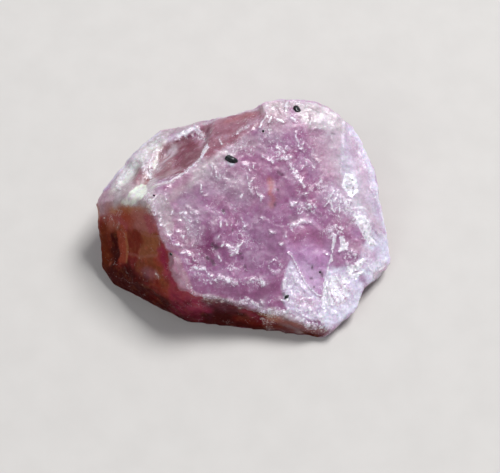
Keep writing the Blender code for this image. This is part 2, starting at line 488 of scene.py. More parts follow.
# The thick pale crown at the back.
CROWN = [
    patch(
        Tone.OLD_ROSE, 0.8, 0.2, (1.04, 6.37), (1.79, 6.85), (2.76, 6.91), (3.02, 5.57), (2.06, 4.8),
        (1.23, 4.82),
    ),
    stroke(Tone.SHELL_PINK, 0.7, 0.4, (2.19, 4.82), (3.29, 5.01), (4.12, 5.38)),
    patch(
        Tone.ASH_ROSE, 0.85, 0.2, (3.8, 6.85), (5.13, 6.97), (6.17, 6.54), (7.01, 6.02), (6.92, 5.38),
        (5.51, 5.35), (4.54, 5.31), (3.99, 5.75),
    ),
    stroke(Tone.ASH_ROSE, 0.8, 0.3, (1.38, 6.19), (2.76, 6.82), (3.87, 6.68), (5.12, 6.52), softness=0.9),
    # Painted rim light: pale milk and ice strokes along the crown's outline and down the right rim's outline.
    stroke(
        Tone.MILK, 0.45, 0.12, (1.11, 6.77), (1.73, 6.99), (2.63, 7.16), (3.74, 7.22), (4.99, 7.05),
        (5.96, 6.66), (6.94, 6.07), (7.81, 5.75), softness=0.8,
    ),
    stroke(
        Tone.ICE_AND_PAINTED_LIGHT, 0.9, 0.16, (7.81, 5.75), (8.22, 5.02), (8.64, 4.18), (9.04, 2.82), (9.29, 1.62),
        (9.61, 1.14), (9.94, -0.39), (10.04, -1.49), softness=0.8,
    ),
    stroke(Zone.FROST, 0.5, 0.22, (1.24, 6.56), (1.94, 7.17), (3.18, 7.06), (4.15, 6.83), softness=0.5),
    stroke(Zone.FROST, 0.69, 0.4, (2.76, 6.74), (3.03, 5.9), (3.57, 5.39), softness=0.8),
    crack(1.43, (2.97, 7.02), (2.89, 6.32)),
    crack(1.24, (1.44, 5.51), (1.17, 5.09), (1.1, 4.73)),
    crack(1.1, (1.85, 5.49), (1.65, 5.14)),
    crack(1.24, (2.26, 5.34), (2.68, 5.31)),
    crack(1.3, (3.23, 5.59), (3.57, 5.39)),
    crack(1.1, (3.57, 4.59), (3.63, 4.11), (3.77, 3.83)),
    flakes_and_painted_glints(1.07, (4.05, 3.93), (3.91, 3.72), (5.08, 3.05), (4.32, 2.8), (3.97, 2.43)),
    crack(0.8, (4.69, 5.92), (4.47, 4.99), (5.44, 5.2), crisp=True),
    crack(0.82, (7.01, 6.02), (6.91, 4.52), (6.76, 3.33), (6.68, 2.54), crisp=True),
    stroke(Zone.FROST, 0.3, 0.5, (4.99, 6.7), (5.81, 6.3), (6.64, 5.71), softness=0.9),
    crack(0.95, (4.29, 6.59), (4.7, 6.47), (5.11, 6.24)),
    crack(0.9, (2.07, 6.46), (2.34, 6.09), (2.47, 5.66)),
    crack(0.95, (1.58, 5.85), (1.51, 5.36)),
]

# The thin right rim.
RIM = [
    stroke(Zone.FROST, 0.5, 0.5, (7.37, 5.63), (8.21, 4.3), (8.88, 2.49)),
    patch(
        Zone.CRUSHED, 1.2, 0.1, (7.03, 2.33), (7.38, 2.55), (7.72, 2.01), (7.72, 1.38), (7.43, 1.15),
        (6.88, 1.69), softness=0.8,
    ),
    patch(Zone.FROST, 0.88, 0.3, (7.63, -0.07), (8.19, -0.13), (8.69, -0.49), (8.25, -0.88), (7.69, -0.57)),
    flakes_and_painted_glints(1.16, (8.32, -0.3), (8.54, -0.48), (7.97, -0.22)),
    crack(1.43, (8.32, -0.92), (8.39, -1.21), (8.32, -1.47)),
    crack(1.24, (8.75, -1.39), (8.83, -1.59)),
    stroke(Zone.FROST, 0.69, 0.3, (8.83, -0.5), (9.57, -0.68), (10.01, -1.02)),
    stroke(Zone.FROST, 0.62, 0.4, (8.38, -2.58), (9.11, -2.82), (9.85, -2.08)),
    flakes_and_painted_glints(1.16, (8.66, -3.24), (8.96, -3.27), (9.33, -2.86), (9.63, -2.53)),
    stroke(Tone.OLD_ROSE, 0.7, 0.15, (8.95, -3.64), (9.4, -3.23), (9.84, -2.73)),
    stroke(Zone.FROST, 0.75, 0.35, (8.21, 4.45), (8.74, 2.71), (9.14, 1.19)),
    stroke(Tone.SHELL_PINK, 0.6, 0.4, (7.5, 4.92), (7.9, 3.62), (8.43, 1.91)),
    stroke(Tone.MILK, 0.7, 0.3, (7.71, 0.86), (8.55, 0.36), (9.12, -0.23)),
    crack(1.0, (7.84, -0.03), (8.18, -0.26), (8.54, -0.54)),
    crack(1.05, (8.11, -0.79), (8.39, -1.09), (8.68, -1.36)),
    crack(0.9, (8.98, -0.64), (9.42, -0.86), (9.86, -1.09)),
    crack(0.9, (8.83, -1.05), (9.42, -1.35)),
    patch(
        Zone.CRUSHED, 0.75, 0.12, (7.7, -0.12), (8.18, -0.19), (8.68, -0.74), (8.83, -1.42),
        (8.39, -1.44), (7.97, -0.8),
    ),
    stroke(Zone.FROST, 0.7, 0.5, (7.26, -2.73), (7.95, -3.05), (8.81, -3.07)),
    crack(0.95, (6.97, -4.13), (7.39, -3.71), (7.95, -3.49), (8.52, -3.28)),
    # Painted rim light: an ice stroke along the rim's outline.
    stroke(
        Tone.ICE_AND_PAINTED_LIGHT, 0.6, 0.2, (7.08, 5.75), (7.8, 5.32), (8.49, 3.97), (9.02, 2.39), (9.61, 1.14),
        (9.97, -0.65),
    ),
    crack(0.88, (7.51, 5.37), (8.06, 4.41), (8.6, 2.92)),
    crack(0.88, (8.86, 1.78), (9.44, 0.94), (9.83, 0.02)),
    stroke(Tone.SHELL_PINK, 0.6, 0.3, (7.27, -2.09), (8.09, -2.28), (8.82, -2.43)),
    stroke(Tone.ORCHID, 0.45, 0.2, (8.23, -3.11), (8.81, -2.63), (9.26, -1.91)),
    patch(Zone.CRUSHED, 0.95, 0.05, (8.39, -1.27), (8.83, -1.24), (9.12, -1.56), (8.68, -1.77)),
    stroke(Zone.CRUSHED, 0.7, 0.06, (9.93, -2.18), (9.7, -2.7), (9.4, -3.16)),
    stroke(Tone.MILK, 0.45, 0.8, (5.79, 5.39), (6.62, 3.96), (7.44, 2.11), (8.26, 0.29)),
    patch(
        Tone.ICE_AND_PAINTED_LIGHT, 0.95, 0.08, (7.03, 2.33), (7.38, 2.55), (7.72, 2.01), (7.72, 1.38), (7.43, 1.15),
        (6.88, 1.69), softness=0.8,
    ),
    stroke(Tone.SHELL_PINK, 0.5, 0.3, (8.13, 1.17), (8.69, 0.16), (9.42, -0.62)),
]

# The upper half of the broad face: chains of small breaks, the rust seam and the hackles.
UPPER = [
    stroke(
        Zone.FROST, 0.94, 0.3, (2.4, 3.68), (2.39, 3.03), (2.94, 2.93), (3.28, 2.46), (3.69, 1.72),
        softness=0.8,
    ),
    flakes_and_painted_glints(
        1.16, (2.26, 3.49), (2.53, 2.9), (2.8, 2.86), (3.21, 3.02), (2.87, 3.51), (3.28, 2.34),
        (3.49, 2.04), (3.62, 1.78), (2.67, 3.31),
    ),
    crack(0.93, (1.23, 2.91), (1.64, 2.7), (1.98, 2.68), crisp=True),
    crack(0.93, (-0.06, 2.21), (0.28, 2.2), (0.42, 1.83), crisp=True),
    crack(0.93, (0.21, 1.54), (0.35, 1.04), (0.42, 0.6), (0.62, 0.36), crisp=True),
    crack(0.93, (-1.94, 1.63), (-1.81, 1.27), (-1.67, 0.98), crisp=True),
    flakes_and_painted_glints(1.07, (1.98, 2.68), (0.62, 2.18), (0.48, 0.54), (-1.74, 1.1), (1.02, 0.28), (1.16, 0.06)),
    crack(1.1, (0.82, 0.69), (0.96, 0.33), (1.23, 0.12)),
    crack(1.2, (-2.87, 0.47), (-2.87, 0.23)),
    flakes_and_painted_glints(1.0, (-2.74, 0.08), (-2.6, -0.09), (-2.14, 1.73), (-0.26, 0.17), (0.55, 1.19)),
    stroke(Tone.RUST, 0.55, 0.16, (1.77, 1.43), (1.84, 1.02), (1.77, 0.6)),
    stroke(Tone.RUST, 0.4, 0.15, (1.91, 0.49), (1.97, 0.13), (1.91, -0.19)),
    stroke(Zone.FROST, 0.62, 0.5, (-1.07, 3.01), (-0.26, 3.3), (0.35, 3.19)),
    crack(0.86, (4.03, 1.45), (4.1, 1.02), (4.3, 0.56), (4.44, 0.21), (4.71, -0.34), crisp=True),
    crack(0.84, (5.42, 1.83), (4.93, 1.42), (4.37, 0.87), (4.03, 0.7), crisp=True),
    flakes_and_painted_glints(
        1.07, (3.96, 1.57), (4.44, 0.15), (4.79, 0.06), (5.14, 1.45), (5.35, 1.76), (3.55, 0.17),
        (3.27, 0.0), (4.1, 1.27),
    ),
    stroke(Zone.FROST, 0.88, 0.3, (3.27, 0.06), (3.82, -0.16), (4.65, -0.01), softness=0.9),
    crack(1.03, (6.18, 1.25), (5.9, 0.78), (5.48, 0.23)),
    crack(1.03, (6.46, 1.25), (6.17, 0.62)),
    crack(1.03, (6.6, 1.02), (6.59, 0.35), (6.52, -0.34)),
    crack(1.03, (6.87, 0.85), (7.0, 0.25)),
    crack(1.03, (7.22, 0.73), (7.28, 0.21)),
    crack(1.1, (5.96, 0.41), (6.17, -0.05)),
    stroke(Zone.FROST, 0.81, 0.6, (5.9, 0.78), (6.59, 0.48), (7.14, 0.38), softness=0.8),
    stroke(Zone.FROST, 0.9, 0.25, (3.13, -1.4), (3.54, -1.24), (3.95, -1.05), softness=0.8),
    crack(1.06, (3.13, -1.4), (3.61, -1.16), (4.09, -0.97), (4.64, -0.87)),
    crack(0.62, (4.64, -0.93), (5.05, -1.24), (5.47, -1.47), crisp=True),
    stroke(Zone.FROST, 1.0, 0.35, (5.82, -1.3), (6.3, -1.02), (6.65, -1.23), softness=0.8),
    flakes_and_painted_glints(1.12, (5.95, -1.34), (6.23, -1.09), (6.37, -1.38), (6.09, -1.6), (6.65, -1.1)),
    stroke(Zone.FROST, 0.6, 0.9, (1.64, 4.76), (1.92, 3.91), (2.46, 3.43)),
    stroke(Zone.FROST, 0.55, 0.7, (3.84, 4.82), (3.98, 3.86), (4.53, 3.04)),
    stroke(Zone.FROST, 0.6, 0.8, (5.35, 1.46), (6.04, 0.92), (6.87, 0.5)),
]

# The lower middle of the broad face.
MID = [
    patch(
        Zone.FROST, 1.0, 0.12, (-0.92, -3.18), (-0.39, -3.02), (-0.39, -3.52), (-0.86, -3.7),
        softness=0.5,
    ),
    crack(0.99, (-1.53, -3.22), (-1.33, -3.1), (-0.99, -3.19)),
    crack(0.99, (-0.86, -3.7), (-0.39, -3.52), (-0.39, -3.08), (-0.06, -2.79)),
    stroke(Zone.FROST, 0.94, 0.07, (-1.06, -4.46), (-0.66, -4.42), (-0.19, -4.5), softness=0.5),
    crack(1.24, (-1.6, -1.61), (-1.53, -1.93)),
    flakes_and_painted_glints(
        1.07, (-1.2, -1.69), (-1.73, -2.62), (0.08, -1.75), (1.23, -1.14), (2.86, -1.94), (-1.59, -4.0),
        (2.58, -2.57), (1.97, -1.93), (-1.66, -3.83),
    ),
    crack(0.86, (-0.19, -1.19), (0.01, -1.51), (0.15, -1.73), crisp=True),
    crack(0.86, (0.89, -1.43), (1.09, -1.21), (1.36, -1.18), crisp=True),
    crack(0.6, (2.58, -1.52), (2.79, -1.89), (2.65, -2.29), (2.92, -2.78), crisp=True),
    stroke(Zone.FROST, 0.44, 0.8, (-1.87, -1.32), (-0.53, -1.92), (0.01, -2.6)),
    stroke(
        Zone.FROST, 0.75, 0.25, (-3.84, -4.4), (-3.44, -4.84), (-2.85, -5.32), (-2.12, -5.36),
        (-1.45, -5.14), (-0.66, -5.28), (0.28, -5.08), (1.36, -5.12), softness=0.9,
    ),
    flakes_and_painted_glints(
        1.16, (-2.72, -4.7), (-3.18, -4.7), (-1.85, -5.29), (-1.65, -5.1), (-1.05, -5.21), (-0.59, -5.33),
        (1.15, -5.02), (1.36, -5.18), (0.55, -5.0),
    ),
    spots(Zone.FROST, 0.62, 0.3, (2.17, -3.7), softness=0.9),
    spots(Zone.SPECK, 1.0, 0.13, (-1.4, -1.0), (-1.86, -3.23), softness=0.5),
    spots(
        Zone.SPECK, 0.9, 0.1, (-2.13, -3.13), (-0.19, -3.49), (-0.05, -3.72), (-2.06, -4.18),
        (-2.39, -4.04), softness=0.5,
    ),
    stroke(Zone.SPECK, 0.85, 0.11, (-2.19, -4.14), (-1.99, -4.34), softness=0.5),
    spots(
        Zone.SPECK, 0.75, 0.09, (0.08, -4.19), (0.15, -4.43), (2.11, -0.16), (2.32, 0.8), (-0.79, -2.02),
        softness=0.5,
    ),
    spots(Zone.SPECK, 0.6, 0.13, (2.39, 2.02), (6.14, 4.99), (2.53, 1.91), softness=0.5),
    spots(Zone.SPECK, 0.9, 0.09, (4.7, -3.81), (4.62, -4.46), (4.55, -5.16), (4.82, -4.97), softness=0.5),
    stroke(Zone.SPECK, 0.9, 0.13, (5.25, -3.92), (5.39, -4.14), softness=0.5),
    # Painted highlight: a white crack and two ice spots at the lower left of the big black grain stand for
    # its glint.
    crack(1.04, (-1.07, 2.33), (-0.87, 2.02)),
    spots(Tone.ICE_AND_PAINTED_LIGHT, 0.95, 0.14, (-1.0, 2.2), (-0.8, 2.03), softness=0.8),
    crack(0.92, (-3.18, -4.7), (-2.65, -4.81), (-2.12, -5.07)),
    crack(0.92, (-1.99, -5.3), (-1.32, -5.18), (-0.66, -5.28)),
    crack(0.9, (0.28, -5.15), (0.95, -5.03), (1.49, -5.17)),
]

# The hairline crack, the round break, the lavender break and the crushed fan at the lower right.
LOWER_RIGHT = [
    stroke(
        Zone.THREAD, 1.35, 0.12, (2.99, -3.07), (3.26, -3.22), (3.53, -3.65), (3.8, -4.14), (4.14, -4.71),
        (4.55, -5.16), (5.02, -5.47), (5.23, -5.49), crisp=True,
    ),
    stroke(
        Zone.THREAD, 1.15, 0.12, (6.3, -1.58), (6.08, -2.47), (5.8, -3.37), (5.59, -4.24), (5.44, -5.19),
        (5.36, -6.09), crisp=True,
    ),
    crack(1.2, (6.23, -1.59), (6.09, -2.16), (6.01, -2.48)),
    crack(1.43, (5.94, -2.86), (6.01, -3.12)),
    stroke(Zone.FROST, 1.0, 0.22, (6.71, -1.65), (6.78, -2.15), softness=0.9),
    crack(1.2, (6.57, -2.48), (7.05, -2.37)),
    flakes_and_painted_glints(1.07, (7.4, -2.45), (7.61, -2.57), (5.6, -2.66), (7.04, -3.26)),
    patch(
        Zone.FROST, 0.75, 0.3, (3.26, -3.93), (4.0, -4.92), (4.88, -5.62), (5.01, -6.56), (3.79, -6.81),
        (2.98, -6.02), (2.85, -5.1),
    ),
    crack(1.43, (2.71, -4.82), (2.78, -5.24)),
    crack(1.1, (2.5, -5.95), (2.77, -6.08)),
    stroke(Zone.SPECK, 0.8, 0.15, (2.71, -5.64), (2.91, -5.9), softness=0.5),
    crack(1.24, (5.59, -4.38), (5.51, -5.05), (5.44, -5.82)),
    crack(1.0, (5.85, -4.69), (6.05, -5.3), (6.32, -5.79)),
    crack(1.24, (6.13, -4.5), (6.4, -5.05), (6.67, -5.68)),
    crack(1.24, (6.35, -4.15), (6.69, -4.54)),
    crack(1.2, (7.18, -3.31), (7.11, -3.73), (7.39, -3.95)),
    crack(1.43, (7.74, -3.32), (8.09, -3.03), (8.38, -2.83)),
    crack(1.2, (7.8, -3.87), (8.16, -3.56)),
    stroke(Zone.FROST, 0.5, 0.7, (6.14, -4.13), (6.97, -4.26), (7.39, -3.59), (8.23, -3.11), softness=0.9),
    stroke(Zone.FROST, 0.62, 0.5, (6.53, -6.13), (7.37, -5.25), (7.8, -4.69)),
    crack(
        0.76, (2.54, -3.96), (2.41, -4.27), (2.1, -4.43), (1.79, -4.35), (1.66, -4.07), (1.79, -3.78),
        (2.1, -3.63), (2.42, -3.68), (2.54, -3.96),
    ),
    stroke(
        Zone.FROST, 0.75, 0.1, (2.54, -3.96), (2.41, -4.27), (2.1, -4.43), (1.79, -4.35), (1.66, -4.07),
        (1.79, -3.78), (2.1, -3.63), (2.42, -3.68), (2.54, -3.96), softness=0.5,
    ),
    patch(
        Zone.CRUSHED, 0.35, 0.2, (5.65, -4.66), (6.14, -4.37), (6.75, -4.94), (6.88, -5.7), (6.25, -6.04),
        (5.64, -5.67),
    ),
    crack(1.1, (5.72, -4.8), (5.78, -5.43), (5.84, -6.05)),
    crack(1.1, (5.99, -4.47), (6.54, -4.96), (6.95, -5.37)),
    crack(1.0, (6.55, -4.43), (7.03, -4.78), (7.37, -5.0)),
    crack(0.95, (5.57, -6.05), (5.97, -6.45), (6.39, -6.52)),
    stroke(Zone.FROST, 0.6, 0.5, (5.7, -6.45), (6.53, -6.37), (7.23, -5.64)),
    crack(0.92, (3.26, -4.06), (3.53, -4.69), (4.06, -5.3)),
    crack(0.9, (2.84, -6.03), (3.52, -6.35), (4.19, -6.55)),
    patch(
        Zone.CRUSHED, 1.2, 0.03, (5.99, -4.47), (6.27, -4.87), (6.64, -5.63), (6.46, -5.75),
        (6.09, -5.26), (5.82, -4.75), softness=0.5, crisp=True,
    ),
    patch(
        Zone.CRUSHED, 1.2, 0.03, (5.76, -4.18), (6.03, -4.14), (6.38, -4.24), (6.55, -4.4), (6.27, -4.53),
        (5.93, -4.44), softness=0.5, crisp=True,
    ),
    patch(
        Zone.CRUSHED, 1.1, 0.03, (6.76, -4.02), (7.11, -4.14), (7.21, -4.5), (6.86, -4.46), (6.66, -4.3),
        softness=0.5, crisp=True,
    ),
    patch(
        Zone.CRUSHED, 1.1, 0.03, (5.48, -4.5), (5.62, -4.38), (5.68, -4.92), (5.58, -5.32), (5.47, -6.0),
        (5.33, -6.1), (5.41, -5.26), softness=0.5, crisp=True,
    ),
    patch(
        Zone.CRUSHED, 1.0, 0.03, (5.71, -5.36), (5.92, -5.56), (6.19, -5.86), (6.05, -6.06),
        (5.78, -5.79), softness=0.5, crisp=True,
    ),
    patch(
        Zone.CRUSHED, 1.0, 0.03, (6.69, -4.74), (7.03, -4.91), (7.16, -5.27), (6.89, -5.25), softness=0.5,
        crisp=True,
    ),
    patch(
        Zone.CRUSHED, 1.2, 0.04, (7.11, -3.43), (7.6, -3.3), (8.09, -2.84), (8.34, -2.84), (8.02, -3.26),
        (7.67, -3.55), (7.22, -3.66), softness=0.5,
    ),
    patch(
        Zone.CRUSHED, 1.1, 0.04, (7.22, -3.72), (7.6, -3.79), (7.95, -3.6), (8.05, -3.74), (7.66, -4.13),
        (7.32, -4.05), softness=0.5,
    ),
    patch(Zone.CRUSHED, 0.9, 0.04, (6.57, -1.67), (7.13, -1.92), (7.05, -2.34), (6.78, -2.46)),
    patch(Tone.PLUM_ROSE, 0.5, 0.25, (6.43, -2.75), (7.05, -2.76), (6.84, -3.09), (6.28, -3.11)),
    stroke(Tone.MAUVE_PINK, 0.6, 0.1, (5.78, -5.06), (6.05, -5.49), (6.39, -5.96)),
    stroke(Tone.MAUVE_PINK, 0.6, 0.1, (6.41, -4.64), (6.75, -5.14), (7.02, -5.55)),
    stroke(Tone.MAUVE_PINK, 0.5, 0.1, (6.56, -4.05), (6.69, -4.68), (7.24, -4.89)),
    crack(0.95, (3.52, -6.59), (4.19, -6.97), (4.87, -7.13), (5.7, -7.08)),
    crack(0.95, (3.79, -6.75), (4.06, -6.44), (4.6, -6.63), (5.01, -6.93)),
    crack(0.95, (4.6, -7.11), (5.01, -6.43), (5.29, -6.89), (5.57, -6.38)),
    patch(
        Tone.ORCHID, 0.25, 0.3, (5.66, -4.24), (6.91, -3.75), (7.38, -4.48), (7.09, -5.53), (5.85, -5.98),
    ),
]

# The lobe along the front edge.
LOBE = [
    stroke(
        Tone.OLD_ROSE, 0.8, 0.14, (-3.77, -5.7), (-3.51, -6.13), (-2.91, -6.3), (-1.99, -6.31),
        (-0.92, -6.37), (-0.05, -6.39), softness=0.8,
    ),
    stroke(
        Zone.FROST, 0.69, 0.15, (-3.77, -5.7), (-3.44, -6.12), (-2.65, -6.33), (-1.46, -6.32),
        (-0.26, -6.4), softness=0.8,
    ),
    crack(0.82, (-2.52, -6.33), (-1.59, -6.27), (-0.52, -6.37), (0.28, -6.47), crisp=True),
    stroke(
        Zone.FROST, 1.0, 0.28, (-0.05, -6.27), (0.55, -6.32), (1.09, -6.68), (1.63, -6.87), (2.17, -6.91),
        softness=0.8,
    ),
    flakes_and_painted_glints(1.2, (0.21, -6.2), (0.55, -6.27), (0.95, -6.46), (1.29, -6.72), (1.63, -6.7), (1.22, -6.28)),
    stroke(Zone.FROST, 1.0, 0.3, (2.37, -6.8), (3.11, -6.77), softness=0.8),
    flakes_and_painted_glints(1.2, (2.64, -6.75), (2.97, -6.61)),
    stroke(Zone.FROST, 1.0, 0.26, (3.58, -7.01), (4.19, -7.39), (5.01, -7.45), (5.83, -7.4), softness=0.8),
    flakes_and_painted_glints(
        1.16, (3.99, -7.23), (4.4, -7.42), (4.81, -7.42), (5.28, -7.14), (4.74, -6.78), (5.08, -6.86),
        (5.43, -6.21), (5.64, -5.92),
    ),
    stroke(Tone.ASH_ROSE, 0.8, 0.25, (1.76, -6.8), (2.84, -7.01), (3.78, -7.3), softness=0.9),
]

# The brow between the broad face and the stained side.
BROW = [
    patch(
        Tone.ASH_ROSE, 0.75, 0.15, (-6.51, -0.71), (-5.31, -0.56), (-4.79, -1.36), (-4.9, -2.78),
        (-5.37, -2.69), (-5.9, -1.78), (-6.37, -1.24),
    ),
    stroke(Tone.OLD_ROSE, 0.8, 0.3, (-4.79, -0.51), (-4.47, 0.09), (-3.94, 0.65), softness=0.9),
    stroke(Tone.GREY_LILAC, 0.6, 0.5, (-4.26, -1.45), (-3.59, -1.99), (-3.46, -2.84)),
    stroke(Tone.MAUVE_PINK, 0.8, 0.16, (-5.56, -2.47), (-5.23, -3.06), (-4.77, -3.56), (-4.24, -3.67)),
    stroke(
        Zone.FROST, 0.53, 0.3, (-6.37, -1.0), (-6.09, -1.51), (-5.7, -1.95), (-5.3, -2.5), (-4.9, -3.16),
        softness=0.9,
    ),
    stroke(Zone.FROST, 0.42, 0.25, (-5.77, -0.56), (-5.31, -1.1), softness=0.9),
    flakes_and_painted_glints(
        1.1, (-6.37, -1.16), (-6.1, -1.66), (-5.9, -1.55), (-5.57, -2.05), (-5.5, -2.27), (-5.57, -1.69),
        (-5.18, -0.59), (-4.79, -1.43), (-4.19, -1.39), (-3.92, -1.43),
    ),
    flakes_and_painted_glints(
        1.06, (-3.59, -1.81), (-3.79, -2.26), (-4.05, -2.72), (-4.38, -3.33), (-3.2, -1.31),
        (-4.84, -3.03), (-4.51, -3.29), (-3.64, -4.0), (-4.04, -3.84),
    ),
    stroke(Zone.FROST, 0.28, 0.7, (-4.52, -1.47), (-3.99, -2.17), (-3.72, -2.86)),
    crack(
        0.74, (-5.03, -3.05), (-4.64, -3.42), (-4.05, -3.47), (-3.39, -3.28), (-2.92, -2.8),
        (-2.73, -2.16),
    ),
    stroke(Zone.FROST, 0.5, 0.3, (-4.11, -3.78), (-3.71, -4.14), (-3.44, -4.35), softness=0.9),
    stroke(Zone.FROST, 0.34, 0.2, (-3.32, -3.78), (-2.92, -4.31), softness=0.9),
    crack(0.74, (-4.39, -1.33), (-3.86, -1.05), (-3.33, -1.25), (-2.93, -1.82), (-2.99, -2.56)),
    crack(0.74, (-4.52, -1.97), (-3.99, -1.74), (-3.59, -2.12), (-3.59, -2.72)),
    stroke(Zone.FROST, 0.5, 0.5, (-4.26, -1.45), (-3.59, -1.52), (-3.33, -2.1)),
    stroke(Tone.LAVENDER, 0.25, 0.4, (-4.39, -1.58), (-3.59, -1.87), (-3.46, -2.46)),
    crack(0.9, (-4.12, -1.57), (-3.79, -1.78), (-3.86, -2.15)),
    crack(0.9, (-3.59, -1.28), (-3.19, -1.49), (-3.06, -1.84)),
    crack(0.85, (-4.51, -2.47), (-4.12, -2.79), (-3.85, -3.24)),
    crack(0.9, (-3.85, -3.76), (-3.45, -4.1), (-3.05, -4.33)),
    stroke(Tone.MAUVE_PINK, 0.35, 0.6, (-4.52, -1.72), (-3.99, -2.3), (-3.85, -2.99)),
]

